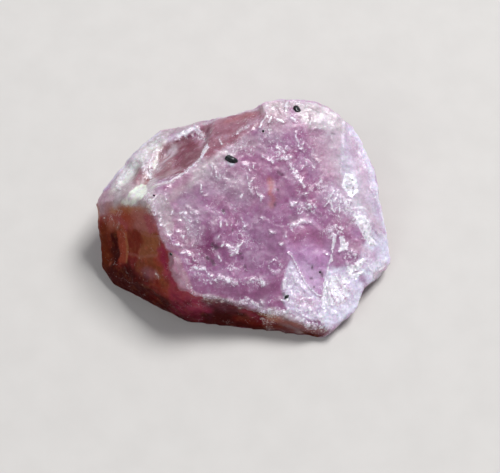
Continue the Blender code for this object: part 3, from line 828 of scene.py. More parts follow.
# The left shoulder with its ridges and sills.
SHOULDER = [
    patch(
        Tone.ASH_ROSE, 0.95, 0.25, (-9.01, 1.67), (-8.33, 3.23), (-7.48, 3.82), (-6.58, 5.19),
        (-5.46, 5.65), (-5.56, 4.57), (-6.05, 3.02), (-6.19, 0.81), (-6.23, -1.09), (-7.8, -0.29),
        (-8.98, 0.0),
    ),
    stroke(
        Tone.MILK, 0.75, 0.3, (-8.79, 1.74), (-8.27, 2.33), (-7.82, 3.19), (-7.55, 3.76), (-6.88, 4.43),
        (-6.01, 5.24),
    ),
    stroke(Tone.OLD_ROSE, 0.5, 0.3, (-8.11, 2.03), (-7.49, 0.77), (-8.12, 0.53)),
    crack(1.43, (-8.78, 1.54), (-8.52, 1.09)),
    patch(
        Tone.DUSKY_PINK, 0.9, 0.12, (-7.51, 2.75), (-7.1, 2.35), (-6.99, 1.56), (-7.1, 0.99),
        (-7.44, 1.13), softness=0.9,
    ),
    patch(
        Tone.OLD_ROSE, 0.85, 0.15, (-10.06, 1.01), (-9.65, 1.43), (-9.12, 1.23), (-8.98, 0.31),
        (-9.36, 0.0), (-9.96, 0.09), softness=0.9,
    ),
    patch(
        Zone.SMOOTH, 0.9, 0.15, (-10.06, 1.01), (-9.65, 1.43), (-9.12, 1.23), (-8.98, 0.31), (-9.36, 0.0),
        (-9.96, 0.09), softness=0.5,
    ),
    stroke(Tone.MILK, 0.9, 0.12, (-6.77, 3.76), (-6.59, 3.17), (-6.43, 2.67), softness=0.5),
    stroke(Tone.OLD_ROSE, 0.8, 0.3, (-6.5, 4.02), (-6.21, 3.53), (-6.3, 2.56)),
    stroke(
        Tone.CREAM, 0.8, 0.14, (-5.49, 4.87), (-5.69, 4.37), (-5.94, 3.65), (-6.24, 2.73), softness=0.8,
        lift=0.05,
    ),
    stroke(Zone.FROST, 0.62, 0.3, (-7.03, 3.49), (-6.68, 2.34), (-6.53, 1.61)),
    stroke(
        Tone.CREAM, 0.65, 0.1, (-6.17, 0.41), (-5.69, 0.52), (-5.14, 0.48), (-4.74, 0.62), (-4.34, 0.91),
        (-4.1, 1.49), (-3.64, 2.05), (-3.03, 2.27), softness=0.8, lift=0.04,
    ),
    stroke(
        Zone.FROST, 0.75, 0.2, (-6.34, 0.87), (-5.63, 0.62), (-4.81, 0.61), (-4.28, 0.99), (-3.63, 1.9),
        (-3.03, 2.27), softness=0.9,
    ),
    # Painted shade: thin plum-brown lines in the gaps beside the sill.
    stroke(Tone.PLUM_BROWN_SHADE, 0.7, 0.08, (-6.78, 1.34), (-6.38, 1.46), (-6.04, 1.6), softness=0.5),
    stroke(Tone.PLUM_BROWN_SHADE, 0.7, 0.09, (-5.38, 1.14), (-4.95, 0.84), softness=0.5),
    stroke(Tone.MILK, 0.85, 0.2, (-4.59, 5.34), (-4.04, 5.57), (-3.41, 5.81), softness=0.8),
    stroke(
        Zone.FROST, 1.0, 0.25, (-4.59, 5.26), (-3.97, 5.66), (-3.34, 5.8), (-3.07, 5.45), (-2.84, 4.68),
        softness=0.8,
    ),
    flakes_and_painted_glints(1.26, (-4.66, 5.15), (-4.46, 5.49), (-3.9, 5.74), (-3.69, 5.79), (-3.34, 5.89), (-3.97, 5.43)),
    stroke(Zone.CRUSHED, 0.4, 0.06, (-5.84, 4.58), (-6.08, 3.67), (-6.3, 2.69), softness=0.9),
    stroke(
        Zone.CRUSHED, 0.4, 0.06, (-6.88, 4.33), (-6.52, 3.17), (-6.35, 2.21), (-6.37, 1.35), softness=0.9,
    ),
    crack(0.98, (-6.11, 4.4), (-6.34, 3.47), (-6.42, 2.46)),
    crack(0.95, (-6.73, 3.2), (-6.55, 2.22), (-6.39, 1.57)),
    crack(0.86, (-5.69, 4.31), (-5.81, 3.67), (-6.04, 2.64)),
    crack(1.04, (-6.17, 0.53), (-5.63, 0.62), (-5.08, 0.67), (-4.55, 0.85)),
    crack(1.01, (-4.55, 0.85), (-3.88, 1.25), (-3.36, 2.01)),
    stroke(Zone.FROST, 0.88, 0.4, (-6.55, -0.02), (-6.1, -0.72), (-6.23, -1.21)),
    stroke(Tone.MILK, 0.6, 0.25, (-5.29, 5.02), (-4.6, 5.54), (-3.62, 5.78)),
    crack(1.1, (-4.8, 5.1), (-4.17, 5.36), (-3.62, 5.56)),
    crack(1.0, (-3.76, 5.71), (-3.2, 5.64), (-2.92, 5.28)),
    stroke(Zone.CRUSHED, 0.6, 0.1, (-4.73, 5.29), (-4.17, 5.36), (-3.76, 5.71), (-3.2, 5.59)),
    stroke(Zone.FROST, 0.7, 0.5, (-8.81, 1.95), (-8.15, 2.75), (-7.46, 3.46), (-6.53, 4.49), (-5.58, 5.3)),
    stroke(Tone.MILK, 0.5, 0.35, (-8.64, 1.66), (-7.99, 2.35), (-7.45, 3.16)),
    crack(0.9, (-8.53, 2.08), (-8.14, 2.55), (-7.82, 3.19)),
    crack(0.9, (-7.18, 3.52), (-6.84, 2.59), (-6.66, 1.73)),
    stroke(Tone.DUSKY_PINK, 0.5, 0.2, (-7.08, 2.03), (-6.65, 1.4), (-6.88, 0.62)),
    stroke(
        Tone.ASH_ROSE, 0.9, 0.3, (-7.25, 4.67), (-6.45, 5.44), (-5.61, 5.89), (-4.76, 5.98),
        (-3.78, 6.24), (-2.93, 6.29),
    ),
    # Painted rim light: an ice stroke along the shoulder's outer edge.
    stroke(
        Tone.ICE_AND_PAINTED_LIGHT, 0.7, 0.14, (-9.75, 1.71), (-9.09, 2.6), (-8.29, 3.64), (-7.67, 4.41), (-6.8, 5.34),
        (-5.9, 5.99),
    ),
    # Painted shade: more plum-brown lines in the gaps above the sill and along the ridge.
    stroke(
        Tone.PLUM_BROWN_SHADE, 0.75, 0.07, (-5.85, 1.83), (-5.11, 1.25), (-4.44, 1.51), (-3.92, 2.12),
        softness=0.5,
    ),
    stroke(Tone.PLUM_BROWN_SHADE, 0.6, 0.07, (-6.4, 1.82), (-6.55, 2.39), (-6.72, 2.96), softness=0.5),
    stroke(Tone.DUSKY_PINK, 0.8, 0.16, (-6.12, 1.75), (-5.24, 1.05), (-4.42, 1.14)),
    stroke(Tone.CLAY, 0.5, 0.12, (-6.8, 2.0), (-6.51, 1.4), (-6.62, 0.95)),
    crack(0.92, (-6.28, 0.1), (-5.74, 0.3), (-5.2, 0.2)),
    crack(0.9, (-5.66, 1.05), (-4.82, 1.01), (-4.17, 1.51)),
    stroke(Tone.ROSE_LILAC, 0.6, 0.25, (-5.32, 0.05), (-4.4, 0.41), (-3.61, 0.98)),
    stroke(
        Tone.CREAM, 0.55, 0.4, (-8.51, 1.74), (-7.87, 2.78), (-7.31, 3.34), (-6.78, 3.98), (-6.13, 4.86),
    ),
    spots(
        Zone.CRUSHED, 0.8, 0.12, (-4.46, 5.4), (-3.76, 5.71), (-3.27, 5.49), (-4.04, 5.22), (-3.55, 5.33),
        (-4.25, 5.64),
    ),
    spots(
        Zone.CRUSHED, 0.6, 0.1, (-6.72, 4.07), (-6.54, 3.38), (-6.76, 3.65), (-6.12, 3.04), (-6.3, 2.41),
        (-6.4, 1.82), (-5.96, 4.19),
    ),
    stroke(Tone.CREAM, 0.5, 0.2, (-9.05, 1.28), (-8.62, 1.45), (-8.26, 2.07)),
    flakes_and_painted_glints(
        1.1, (-8.66, 1.88), (-8.27, 2.26), (-7.88, 2.88), (-7.32, 3.43), (-6.98, 2.63), (-6.02, 5.43),
        (-6.57, 5.0),
    ),
]

# The hollow in the shoulder. Its deep rose, plum, mulberry and oxblood tones are painted shade in the recess.
HOLLOW = [
    patch(
        Tone.DUSKY_PINK, 1.0, 0.2, (-5.42, 4.53), (-4.8, 4.8), (-4.18, 5.06), (-3.55, 5.0), (-2.92, 5.17),
        (-2.81, 3.94), (-3.14, 3.26), (-3.24, 2.39), (-3.72, 2.23), (-4.03, 1.45), (-4.73, 1.65),
        (-5.27, 1.51), (-5.94, 2.08), (-5.72, 3.17), (-5.82, 3.82), softness=0.9,
    ),
    patch(
        Tone.HOLLOW_SHADE_ROSE, 1.0, 0.2, (-4.32, 4.87), (-3.62, 5.0), (-2.92, 5.06), (-2.81, 3.81),
        (-3.19, 2.89), (-3.58, 2.27), (-4.1, 1.49), (-4.58, 1.58), (-4.6, 3.17),
    ),
    stroke(
        Tone.HOLLOW_SHADE_ROSE, 0.8, 0.5, (-5.59, 2.07), (-4.94, 3.05), (-4.31, 4.47), softness=0.5,
        streak=55.0,
    ),
    stroke(Tone.ASH_ROSE, 0.3, 0.5, (-5.75, 2.57), (-5.24, 3.37), (-4.59, 4.67), softness=0.5, streak=55.0),
    patch(
        Zone.SMOOTH, 0.9, 0.3, (-5.49, 4.47), (-4.18, 5.11), (-2.99, 4.98), (-3.0, 3.3), (-3.51, 2.21),
        (-4.3, 1.46), (-5.86, 2.05), softness=0.5,
    ),
    patch(
        Zone.CRUSHED, 0.85, 0.05, (-2.6, 3.92), (-2.44, 3.44), (-2.63, 2.84), (-2.83, 2.4), (-2.97, 2.53),
        (-2.8, 3.52),
    ),
    stroke(Tone.OXBLOOD, 0.2, 0.5, (-4.1, 2.89), (-3.58, 3.86), (-3.04, 4.62)),
    patch(
        Zone.FROST, -0.8, 0.15, (-5.28, 4.48), (-4.18, 4.95), (-3.05, 4.75), (-3.14, 3.4), (-3.66, 2.42),
        (-4.32, 1.74), (-5.59, 2.18),
    ),
    stroke(
        Tone.PLUM_BROWN_SHADE, 0.4, 0.4, (-5.46, 2.25), (-4.68, 3.45), (-3.76, 4.76), softness=0.5, streak=52.0,
    ),
    stroke(Tone.MILK, 0.45, 0.3, (-5.74, 2.33), (-5.26, 3.66), (-4.87, 4.52), softness=0.5, streak=52.0),
    patch(
        Tone.HOLLOW_SHADE_ROSE, 0.9, 0.15, (-3.93, 3.88), (-3.02, 3.83), (-3.12, 2.85), (-3.65, 2.18),
        (-4.1, 1.61), (-4.5, 2.53),
    ),
    patch(
        Tone.PLUM_BROWN_SHADE, 0.22, 0.2, (-4.03, 4.62), (-2.97, 4.44), (-3.12, 2.85), (-3.65, 2.31),
        (-4.07, 2.21),
    ),
    spots(
        Zone.CRUSHED, 0.62, 0.07, (-4.55, 0.85), (-4.22, 1.13), (-3.89, 1.38), (-3.63, 1.75),
        (-3.3, 2.22), (-3.03, 2.36), (-4.02, 1.22), (-4.81, 0.69),
    ),
    patch(
        Tone.MULBERRY_SHADE, 0.12, 0.2, (-4.01, 4.06), (-3.03, 4.09), (-3.05, 2.81), (-3.58, 2.13),
        (-4.1, 1.61), (-4.57, 2.46),
    ),
    stroke(Tone.MULBERRY_SHADE, 0.1, 0.2, (-3.76, 4.76), (-3.12, 4.65)),
    spots(
        Tone.DUSKY_PINK, 0.7, 0.12, (-2.91, 4.83), (-2.8, 3.68), (-3.3, 2.1), (-3.89, 1.38),
        (-5.14, 4.55),
    ),
]

# The sunk band from the hollow to the crown.
BAND = [
    patch(
        Tone.BAND_ROSE, 1.0, 0.25, (-3.07, 5.45), (-2.79, 5.88), (-1.53, 6.3), (0.14, 6.62), (0.97, 6.11),
        (1.17, 5.24), (0.28, 4.55), (-1.21, 3.44), (-2.42, 2.58), (-2.88, 4.0),
    ),
    # Painted shadow: dark rose lines along the foot of the step and across the band.
    stroke(Tone.HOLLOW_SHADE_ROSE, 0.7, 0.18, (-2.5, 2.8), (-1.76, 3.36), (-0.67, 3.99), (0.21, 4.67)),
    stroke(Tone.HOLLOW_SHADE_ROSE, 0.6, 0.2, (-2.55, 4.7), (-1.78, 4.6), (-0.95, 4.78)),
    stroke(Tone.RUST, 0.25, 0.25, (-1.1, 5.75), (-0.28, 5.99), (0.55, 5.99)),
    stroke(Tone.MILK, 0.6, 0.12, (-2.79, 6.12), (-1.53, 6.42), (0.0, 6.55), (0.83, 6.49), softness=0.9),
    crack(1.06, (-1.7, 4.18), (-1.49, 3.49)),
    stroke(Zone.FROST, 0.94, 0.22, (-0.67, 4.2), (-0.2, 4.59), (0.28, 4.85), softness=0.9),
    flakes_and_painted_glints(1.07, (-0.2, 4.59), (0.21, 4.77), (-0.47, 4.34)),
    stroke(Zone.SMOOTH, 0.5, 0.5, (-2.32, 3.94), (-0.61, 4.7), (0.55, 5.57), softness=0.8),
]

# The smooth cream leaf.
LEAF = [
    patch(
        Tone.CREAM, 1.0, 0.06, (-8.24, -0.23), (-7.93, 0.02), (-7.47, 0.48), (-6.96, 0.93), (-6.58, 0.84),
        (-6.55, -0.02), (-6.93, -0.53), (-7.51, -0.54), softness=0.9,
    ),
    patch(
        Zone.SMOOTH, 1.0, 0.08, (-8.24, -0.23), (-7.93, 0.02), (-7.47, 0.48), (-6.96, 0.93),
        (-6.58, 0.84), (-6.55, -0.02), (-6.93, -0.53), (-7.51, -0.54), softness=0.5,
    ),
    patch(
        Zone.STAIN, -1.0, 0.1, (-8.24, -0.23), (-7.93, 0.02), (-7.47, 0.48), (-6.96, 0.93), (-6.58, 0.84),
        (-6.55, -0.02), (-6.93, -0.53), (-7.51, -0.54), softness=0.5,
    ),
    patch(
        Zone.FROST, -0.9, 0.1, (-8.24, -0.23), (-7.93, 0.02), (-7.47, 0.48), (-6.96, 0.93), (-6.58, 0.84),
        (-6.55, -0.02), (-6.93, -0.53), (-7.51, -0.54), softness=0.5,
    ),
    stroke(Tone.MILK, 0.6, 0.06, (-7.79, -0.25), (-7.31, 0.02), (-6.88, 0.62), streak=50.0),
]

# The iron-stained left side with its windows and bars.
STAIN = [
    stroke(Tone.TAN, 0.85, 0.16, (-9.0, -0.22), (-8.33, -0.47), (-7.59, -0.76), (-6.94, -1.1)),
    patch(
        Tone.CLAY, 0.85, 0.2, (-7.45, -0.97), (-6.53, -1.39), (-6.05, -2.32), (-6.83, -2.22),
        (-7.54, -1.55),
    ),
    stroke(Tone.BROWN, 0.8, 0.3, (-8.48, -0.56), (-7.97, -0.87), (-7.68, -1.38)),
    stroke(Tone.CLAY, 0.5, 0.3, (-9.28, 0.01), (-9.02, -0.76)),
    patch(Tone.ROSEWOOD, 0.8, 0.12, (-6.6, -1.55), (-6.03, -1.77), (-5.7, -2.52), (-6.27, -2.38)),
    stroke(Tone.MAUVE_PINK, 0.8, 0.14, (-6.03, -1.63), (-5.7, -2.36), (-5.3, -3.16)),
    patch(
        Tone.UMBER, 0.95, 0.08, (-7.93, -1.77), (-7.12, -2.06), (-6.48, -2.56), (-5.78, -2.89),
        (-5.65, -3.37), (-5.94, -3.79), (-6.8, -3.47), (-7.89, -2.83),
    ),
    patch(
        Tone.OXBLOOD, 0.85, 0.2, (-7.93, -1.82), (-7.2, -2.12), (-7.07, -2.73), (-7.45, -3.09),
        (-7.89, -2.72),
    ),
    patch(
        Zone.SMOOTH, 1.0, 0.1, (-7.93, -1.77), (-7.12, -2.06), (-6.48, -2.56), (-5.78, -2.89),
        (-5.65, -3.37), (-5.94, -3.79), (-6.8, -3.47), (-7.89, -2.83), softness=0.5, lift=-0.04,
    ),
    stroke(
        Tone.CLAY, 0.35, 0.06, (-7.12, -2.06), (-6.48, -2.56), (-5.78, -2.89), (-5.58, -3.4),
        (-5.87, -3.81), softness=0.5, crisp=True,
    ),
    stroke(Tone.CLAY, 0.35, 0.06, (-7.89, -2.83), (-6.8, -3.47), (-5.87, -3.81), softness=0.5, crisp=True),
    patch(
        Tone.BROWN, 0.9, 0.09, (-8.68, -1.36), (-8.16, -1.7), (-8.04, -2.39), (-8.12, -3.05),
        (-8.42, -3.03), (-8.63, -2.2),
    ),
    stroke(Tone.TAN, 0.45, 0.06, (-8.09, -1.78), (-7.96, -2.47), (-8.05, -3.18), softness=0.5, crisp=True),
    patch(
        Tone.BLOOD_DARK, 0.95, 0.08, (-9.04, -1.32), (-8.82, -1.44), (-8.57, -2.76), (-8.79, -2.89),
        (-9.08, -2.11),
    ),
    stroke(Tone.DARK_UMBER, 0.8, 0.4, (-9.86, -0.95), (-9.75, -1.65), (-9.55, -2.46)),
    stroke(Tone.OLIVE, 0.7, 0.25, (-7.1, -3.67), (-6.6, -4.11)),
    stroke(Tone.MAUVE_PINK, 0.3, 0.2, (-6.67, -4.23), (-6.18, -4.6)),
    stroke(Tone.CRIMSON, 0.85, 0.25, (-5.51, -3.62), (-5.33, -4.09), (-5.06, -4.82), (-4.71, -5.5)),
    stroke(
        Tone.ROSEWOOD, 0.85, 0.13, (-4.91, -4.02), (-4.84, -4.75), (-4.43, -5.58), (-3.78, -6.2),
        (-2.92, -6.4),
    ),
    patch(
        Zone.STAIN, -0.9, 0.15, (-4.91, -3.98), (-4.37, -4.11), (-3.77, -5.23), (-3.57, -5.91),
        (-4.17, -5.88), (-4.7, -5.08),
    ),
    patch(
        Tone.MAUVE_PINK, 0.9, 0.12, (-4.91, -3.98), (-4.37, -4.11), (-3.77, -5.23), (-3.57, -5.91),
        (-4.17, -5.88), (-4.7, -5.08),
    ),
    stroke(Tone.OLD_ROSE, 0.6, 0.1, (-4.43, -4.32), (-4.1, -4.91), (-3.77, -5.59)),
    stroke(Tone.CRIMSON, 0.6, 0.25, (-4.79, -5.85), (-3.99, -6.28), (-3.07, -6.43)),
    crack(0.86, (-5.97, -4.63), (-5.69, -4.94)),
    flakes_and_painted_glints(0.82, (-9.6, -0.28), (-9.61, -0.44), (-8.41, -0.6), (-8.66, -1.09)),
    stroke(Tone.OXBLOOD, 0.5, 0.1, (-6.34, -5.0), (-5.77, -5.32), (-5.2, -5.53)),
    spots(Tone.RUST, 0.35, 0.1, (-7.09, -3.07), (-6.64, -3.13), (-9.25, -2.8), softness=0.5),
]

# The dark front wall. Its own deep reds are darkened further as painted shade, with oxblood strokes low down
# towards the floor.
FRONT = [
    stroke(Tone.MULBERRY_SHADE, 0.9, 0.35, (-2.53, 2.87), (-1.33, 2.61), (-0.12, 2.37)),
    stroke(Tone.CRIMSON, 0.75, 0.3, (-3.2, 2.75), (-2.55, 2.02)),
    stroke(Tone.CRIMSON, 0.6, 0.3, (0.15, 2.14), (0.96, 1.3), (1.9, 1.27)),
    stroke(Tone.CLAY, 0.8, 0.3, (1.9, 1.64), (2.98, 1.4), (4.06, 1.25)),
    stroke(Tone.TAN, 0.35, 0.2, (1.22, 1.77), (2.17, 1.51)),
    stroke(Tone.DUSKY_PINK, 0.9, 0.3, (4.2, 1.14), (5.02, 0.89), (5.56, 0.98)),
    stroke(Tone.OXBLOOD, 0.6, 0.25, (-0.53, 1.24), (0.55, 0.85), (1.78, 0.6), (3.27, 0.53)),
    flakes_and_painted_glints(1.07, (-0.19, 2.45), (-2.4, 2.75)),
    stroke(Tone.OXBLOOD, 0.35, 0.5, (1.23, 1.18), (2.86, 0.85), (4.48, 0.93)),
]

# The back wall, placed by X and height.
BACKSIDE = [
    stroke(Tone.TAN, 0.7, 0.45, (-6.6, 0.7), (-4.4, 1.3), (-2.4, 0.6)),
    stroke(Tone.CLAY, 0.7, 0.6, (-8.6, 1.6), (-7.4, 0.9), (-5.6, 2.0)),
    stroke(Tone.BROWN, 0.6, 0.3, (-0.6, 0.5), (1.6, 1.0), (4.2, 0.5)),
    stroke(Tone.LAVENDER, 0.6, 0.7, (4.6, 5.4), (6.8, 4.2), (8.2, 2.8)),
    stroke(Tone.MILK, 0.7, 0.4, (-2.4, 5.6), (0.4, 6.4), (3.4, 6.9), (5.6, 6.2)),
    stroke(Tone.MAGENTA, 0.6, 0.7, (-3.6, 2.8), (-2.2, 3.6)),
    stroke(Tone.SHELL_PINK, 0.6, 0.9, (1.6, 3.4), (3.4, 2.6)),
    crack(0.95, (1.2, 6.2), (1.9, 4.9), (1.7, 3.6), (2.6, 2.2), (2.4, 1.0)),
    crack(0.9, (5.2, 4.6), (5.9, 3.4), (5.6, 2.4)),
    crack(0.95, (-5.4, 4.2), (-4.9, 3.2), (-5.3, 2.1)),
    stroke(Zone.FROST, 0.7, 0.6, (1.4, 5.4), (1.8, 3.8), (2.4, 2.4)),
    stroke(Zone.FROST, 0.75, 0.5, (-5.2, 3.8), (-5.0, 2.4)),
    stroke(Zone.CRUSHED, 0.8, 0.2, (-1.8, 5.4), (-0.4, 6.0)),
    stroke(Zone.CRUSHED, 0.8, 0.25, (3.2, 1.6), (4.0, 2.1)),
    spots(Zone.SPECK, 0.9, 0.12, (0.2, 3.4), (3.9, 4.2), (-3.1, 1.9), (6.4, 2.0), softness=0.5),
    stroke(Tone.ASH_ROSE, 0.7, 0.4, (-8.6, 4.6), (-7.0, 5.6), (-5.2, 6.2), (-3.2, 6.2)),
]

# The left end behind the stain, placed by Y and height.
LEFT_END = [
    stroke(Tone.TAN, 0.6, 0.5, (0.4, 3.4), (1.2, 2.4), (2.4, 1.6)),
    stroke(Tone.CLAY, 0.7, 0.6, (0.8, 2.0), (1.6, 1.2), (3.0, 0.7)),
    stroke(Tone.OLD_ROSE, 0.5, 0.7, (2.6, 3.2), (4.0, 2.6)),
    crack(0.95, (2.0, 3.6), (2.6, 2.6), (2.4, 1.4)),
]

# The low wall of the right end, placed by Y and height.
RIGHT_END = [
    stroke(Tone.CLAY, 0.6, 0.4, (-1.0, 0.4), (1.0, 0.6), (3.4, 0.5)),
    stroke(Tone.OLD_ROSE, 0.6, 0.6, (0.6, 1.6), (2.6, 2.2), (4.2, 1.6)),
    crack(0.95, (0.2, 1.8), (1.4, 1.2), (2.0, 2.0), (3.4, 1.8)),
    stroke(Zone.FROST, 0.7, 0.4, (0.4, 1.6), (2.0, 1.8), (3.6, 2.0)),
]

PLACED_MARKS = [
    *WASHES,
    *CROWN,
    *RIM,
    *UPPER,
    *MID,
    *LOWER_RIGHT,
    *LOBE,
    *BROW,
    *SHOULDER,
    *HOLLOW,
    *BAND,
    *LEAF,
    *STAIN,
    *laid_from(Seen.FRONT, FRONT),
    *laid_from(Seen.BACK, BACKSIDE),
    *laid_from(Seen.LEFT, LEFT_END),
    *laid_from(Seen.RIGHT, RIGHT_END),
]


@dataclass(frozen=True)
class RoseCorundum:
    """Ruby rough: milky rose corundum, broken and not polished.

    Light sinks into it and comes back lilac-rose through milky veils. Each small break shows as a
    white thread, a fleck or a glint over that soft body.
    """

    name: str = "rose_corundum_skin"
    veil: str = "#C9B2CB"
    deep_share: tuple[float, float, float, float] = (0.62, 0.38, 0.58, 1.0)  # a clear gap's tint share
    # The white of the breaks, which also paints the glints and the highlights on cracks.
    fleck: str = "#ECE8F1"
    speck: str = "#43233A"
    ior: float = 1.77
    specular: float = 0.4
    roughness: float = 0.36
    veiled: float = 0.42  # how far the milky veils cover the tint
    whitened: float = 0.9  # how white a break gets
    depth: float = 0.7  # how much of the light sinks in

    def material(self) -> bpy.types.Material:
        """Builds the material, with its tint and zones from the skin's point attributes.

        Returns:
            The finished material.
        """
        material = bpy.data.materials.new(self.name)
        material.use_nodes = True
        tree = material.node_tree
        tree.nodes.clear()
        place = add_node(tree, "TexCoord", out="Object")
        tint = add_node(tree, "Attribute", attribute_name=TINT, out="Color")
        frost = zone_value(tree, Zone.FROST)
        crushed = zone_value(tree, Zone.CRUSHED)
        # Most patterns run on places that a 0.5 mm noise pushes about, so that none runs straight.
        push = cloudy(tree, place, 0.5, 3.0, out="Color")
        bent = add_node(
            tree,
            "VectorMath",
            {0: push, 1: Vector.Fill(3, 0.35 * METRES_PER_MM), 2: place},
            operation="MULTIPLY_ADD",
        )
        colour = self.veils(tree, place, bent, tint, frost)
        white = self.broken_white(tree, place, bent, frost, crushed)
        colour = mixed(tree, white, colour, linear(self.fleck))
        # Fresh breaks are glassy, and the worn skin between them is silky.
        wear = cloudy(tree, bent, 0.45, 4.0)
        gloss = remapped(tree, wear, (0.35, 0.65), (self.roughness - 0.06, self.roughness + 0.16))
        gloss = maths(tree, "MULTIPLY_ADD", white, -0.14, gloss)
        # Light sinks less deep into a white break than into the clearer body.
        depth = maths(tree, "MULTIPLY_ADD", white, -0.7 * self.depth, self.depth)
        shader = add_node(
            tree,
            "BsdfPrincipled",
            {
                "Base Color": colour,
                "Roughness": gloss,
                "IOR": self.ior,
                "Specular IOR Level": self.specular,
                "Subsurface Weight": depth,
                "Subsurface Radius": (1.0, 0.45, 0.7),
                "Subsurface Scale": 0.8 * METRES_PER_MM,
                "Normal": self.glinting_normal(tree, place, bent, frost, crushed),
            },
            "BSDF",
        )
        add_node(tree, "OutputMaterial", {"Surface": shader})
        return material

    def veils(
        self,
        tree: bpy.types.NodeTree,
        place: bpy.types.NodeSocket,
        bent: bpy.types.NodeSocket,
        tint: bpy.types.NodeSocket,
        frost: bpy.types.NodeSocket,
    ) -> bpy.types.NodeSocket:
        """Milky veils and clearer, deeper gaps about 0.7 mm wide, under a fine 0.2 mm mottle.

        Args:
            tree: The material's node tree.
            place: Object coordinates.
            bent: The same, pushed about.
            tint: The skin's own colour.
            frost: How broken the skin is.

        Returns:
            The colour under the white breaks.
        """
        cloud = cloudy(tree, bent, 0.7, 5.0, 0.6)
        gaps = remapped(tree, cloud, (0.5, 0.28), (0.0, self.veiled + 0.1))
        deeper = mixed(tree, 1.0, tint, self.deep_share, blend_type="MULTIPLY")
        colour = mixed(tree, gaps, tint, deeper)
        milk = maths(tree, "MULTIPLY_ADD", frost, 0.14, cloud)
        milk = remapped(tree, milk, (0.53, 0.78), (0.0, self.veiled))
        colour = mixed(tree, milk, colour, linear(self.veil))
        mottle = cloudy(tree, place, 0.2, 3.0, 0.65)
        bright = remapped(tree, mottle, (0.3, 0.7), (0.84, 1.14))
        colour = add_node(tree, "VectorMath", {0: colour, "Scale": bright}, operation="SCALE")
        speck = maths(tree, "MULTIPLY", zone_value(tree, Zone.SPECK), 0.85)
        return mixed(tree, speck, colour, linear(self.speck))

    def broken_white(
        self,
        tree: bpy.types.NodeTree,
        place: bpy.types.NodeSocket,
        bent: bpy.types.NodeSocket,
        frost: bpy.types.NodeSocket,
        crushed: bpy.types.NodeSocket,
    ) -> bpy.types.NodeSocket:
        """Where the stone is broken to white.

        A crack is a few hundredths of a millimetre wide. Cracks, wiry threads and flecks are drawn
        0.1 to 0.15 mm wide, as fine as the render shows. Near cracks and glint flakes the white is
        partly painted highlight.

        Args:
            tree: The material's node tree.
            place: Object coordinates.
            bent: The same, pushed about.
            frost: How broken the skin is.
            crushed: How far it is crushed.

        Returns:
            The share of white, from 0 to 1.
        """
        fray = cloudy(tree, place, 0.2, 3.0, 0.65)
        near = maths(tree, "MULTIPLY_ADD", fray, 1.15, zone_value(tree, Zone.THREAD))
        cracks_and_painted_glints = remapped(tree, near, (1.28, 1.46), (0.0, 1.0))
        # Painted highlight: a noise whitens the cracks in patches, standing in for small faces that meet the
        # light.
        painted_shine = remapped(tree, cloudy(tree, bent, 0.3, 2.0), (0.36, 0.56), (0.4, 1.0))
        cracks_and_painted_glints = maths(tree, "MULTIPLY", cracks_and_painted_glints, painted_shine)
        # Flecks lie thickest where the skin is frosted or crushed.
        broken = maths(tree, "MULTIPLY_ADD", frost, 0.17, cloudy(tree, bent, 0.17, 4.0, 0.75))
        broken = maths(tree, "MULTIPLY_ADD", crushed, 0.32, broken)
        flecks = remapped(tree, broken, (0.64, 0.76), (0.0, 0.95))
        # Wiry threads run where a noise crosses its middle value, in clusters.
        waves = maths(tree, "SUBTRACT", cloudy(tree, bent, 0.7, 2.5, 0.55), 0.5)
        wires = remapped(tree, maths(tree, "ABSOLUTE", waves), (0.003, 0.014), (1.0, 0.0))
        cluster = maths(tree, "MULTIPLY_ADD", frost, 0.2, cloudy(tree, place, 1.1, 3.0))
        cluster = remapped(tree, cluster, (0.54, 0.74), (0.0, 0.75))
        wires = maths(tree, "MULTIPLY", wires, cluster)
        white = maths(tree, "MAXIMUM", maths(tree, "MAXIMUM", cracks_and_painted_glints, flecks), wires)
        return maths(tree, "MULTIPLY", white, self.whitened)

    def glinting_normal(
        self,
        tree: bpy.types.NodeTree,
        place: bpy.types.NodeSocket,
        bent: bpy.types.NodeSocket,
        frost: bpy.types.NodeSocket,
        crushed: bpy.types.NodeSocket,
    ) -> bpy.types.NodeSocket:
        """Tilts each 0.15 mm flat its own way where the stone is broken.

        Cracks get raised lips, and a fine grain lies over all.

        Args:
            tree: The material's node tree.
            place: Object coordinates.
            bent: The same, pushed about.
            frost: How broken the skin is.
            crushed: How far it is crushed.

        Returns:
            The tilted normal.
        """
        flats = add_node(tree, "TexVoronoi", {"Vector": bent, "Scale": per_metre(0.15)}, "Color")
        centred = add_node(tree, "VectorMath", {0: flats, 1: (0.5, 0.5, 0.5)}, operation="SUBTRACT")
        amount = maths(tree, "MULTIPLY_ADD", frost, 0.3, 0.03)
        amount = maths(tree, "MULTIPLY_ADD", crushed, 0.7, amount)
        tilt = add_node(tree, "VectorMath", {0: centred, "Scale": amount}, operation="SCALE")
        surface = add_node(tree, "NewGeometry", out="Normal")
        tilted = add_node(tree, "VectorMath", {0: surface, 1: tilt}, operation="ADD")
        tilted = add_node(tree, "VectorMath", {0: tilted}, operation="NORMALIZE")
        grain = cloudy(tree, place, 0.16, 4.0)
        for height, strength, rise in ((zone_value(tree, Zone.THREAD), 0.8, 0.07), (grain, 0.35, 0.02)):
            bump = {"Strength": strength, "Distance": rise * METRES_PER_MM, "Height": height}
            tilted = add_node(tree, "Bump", {**bump, "Normal": tilted}, "Normal")
        return tilted


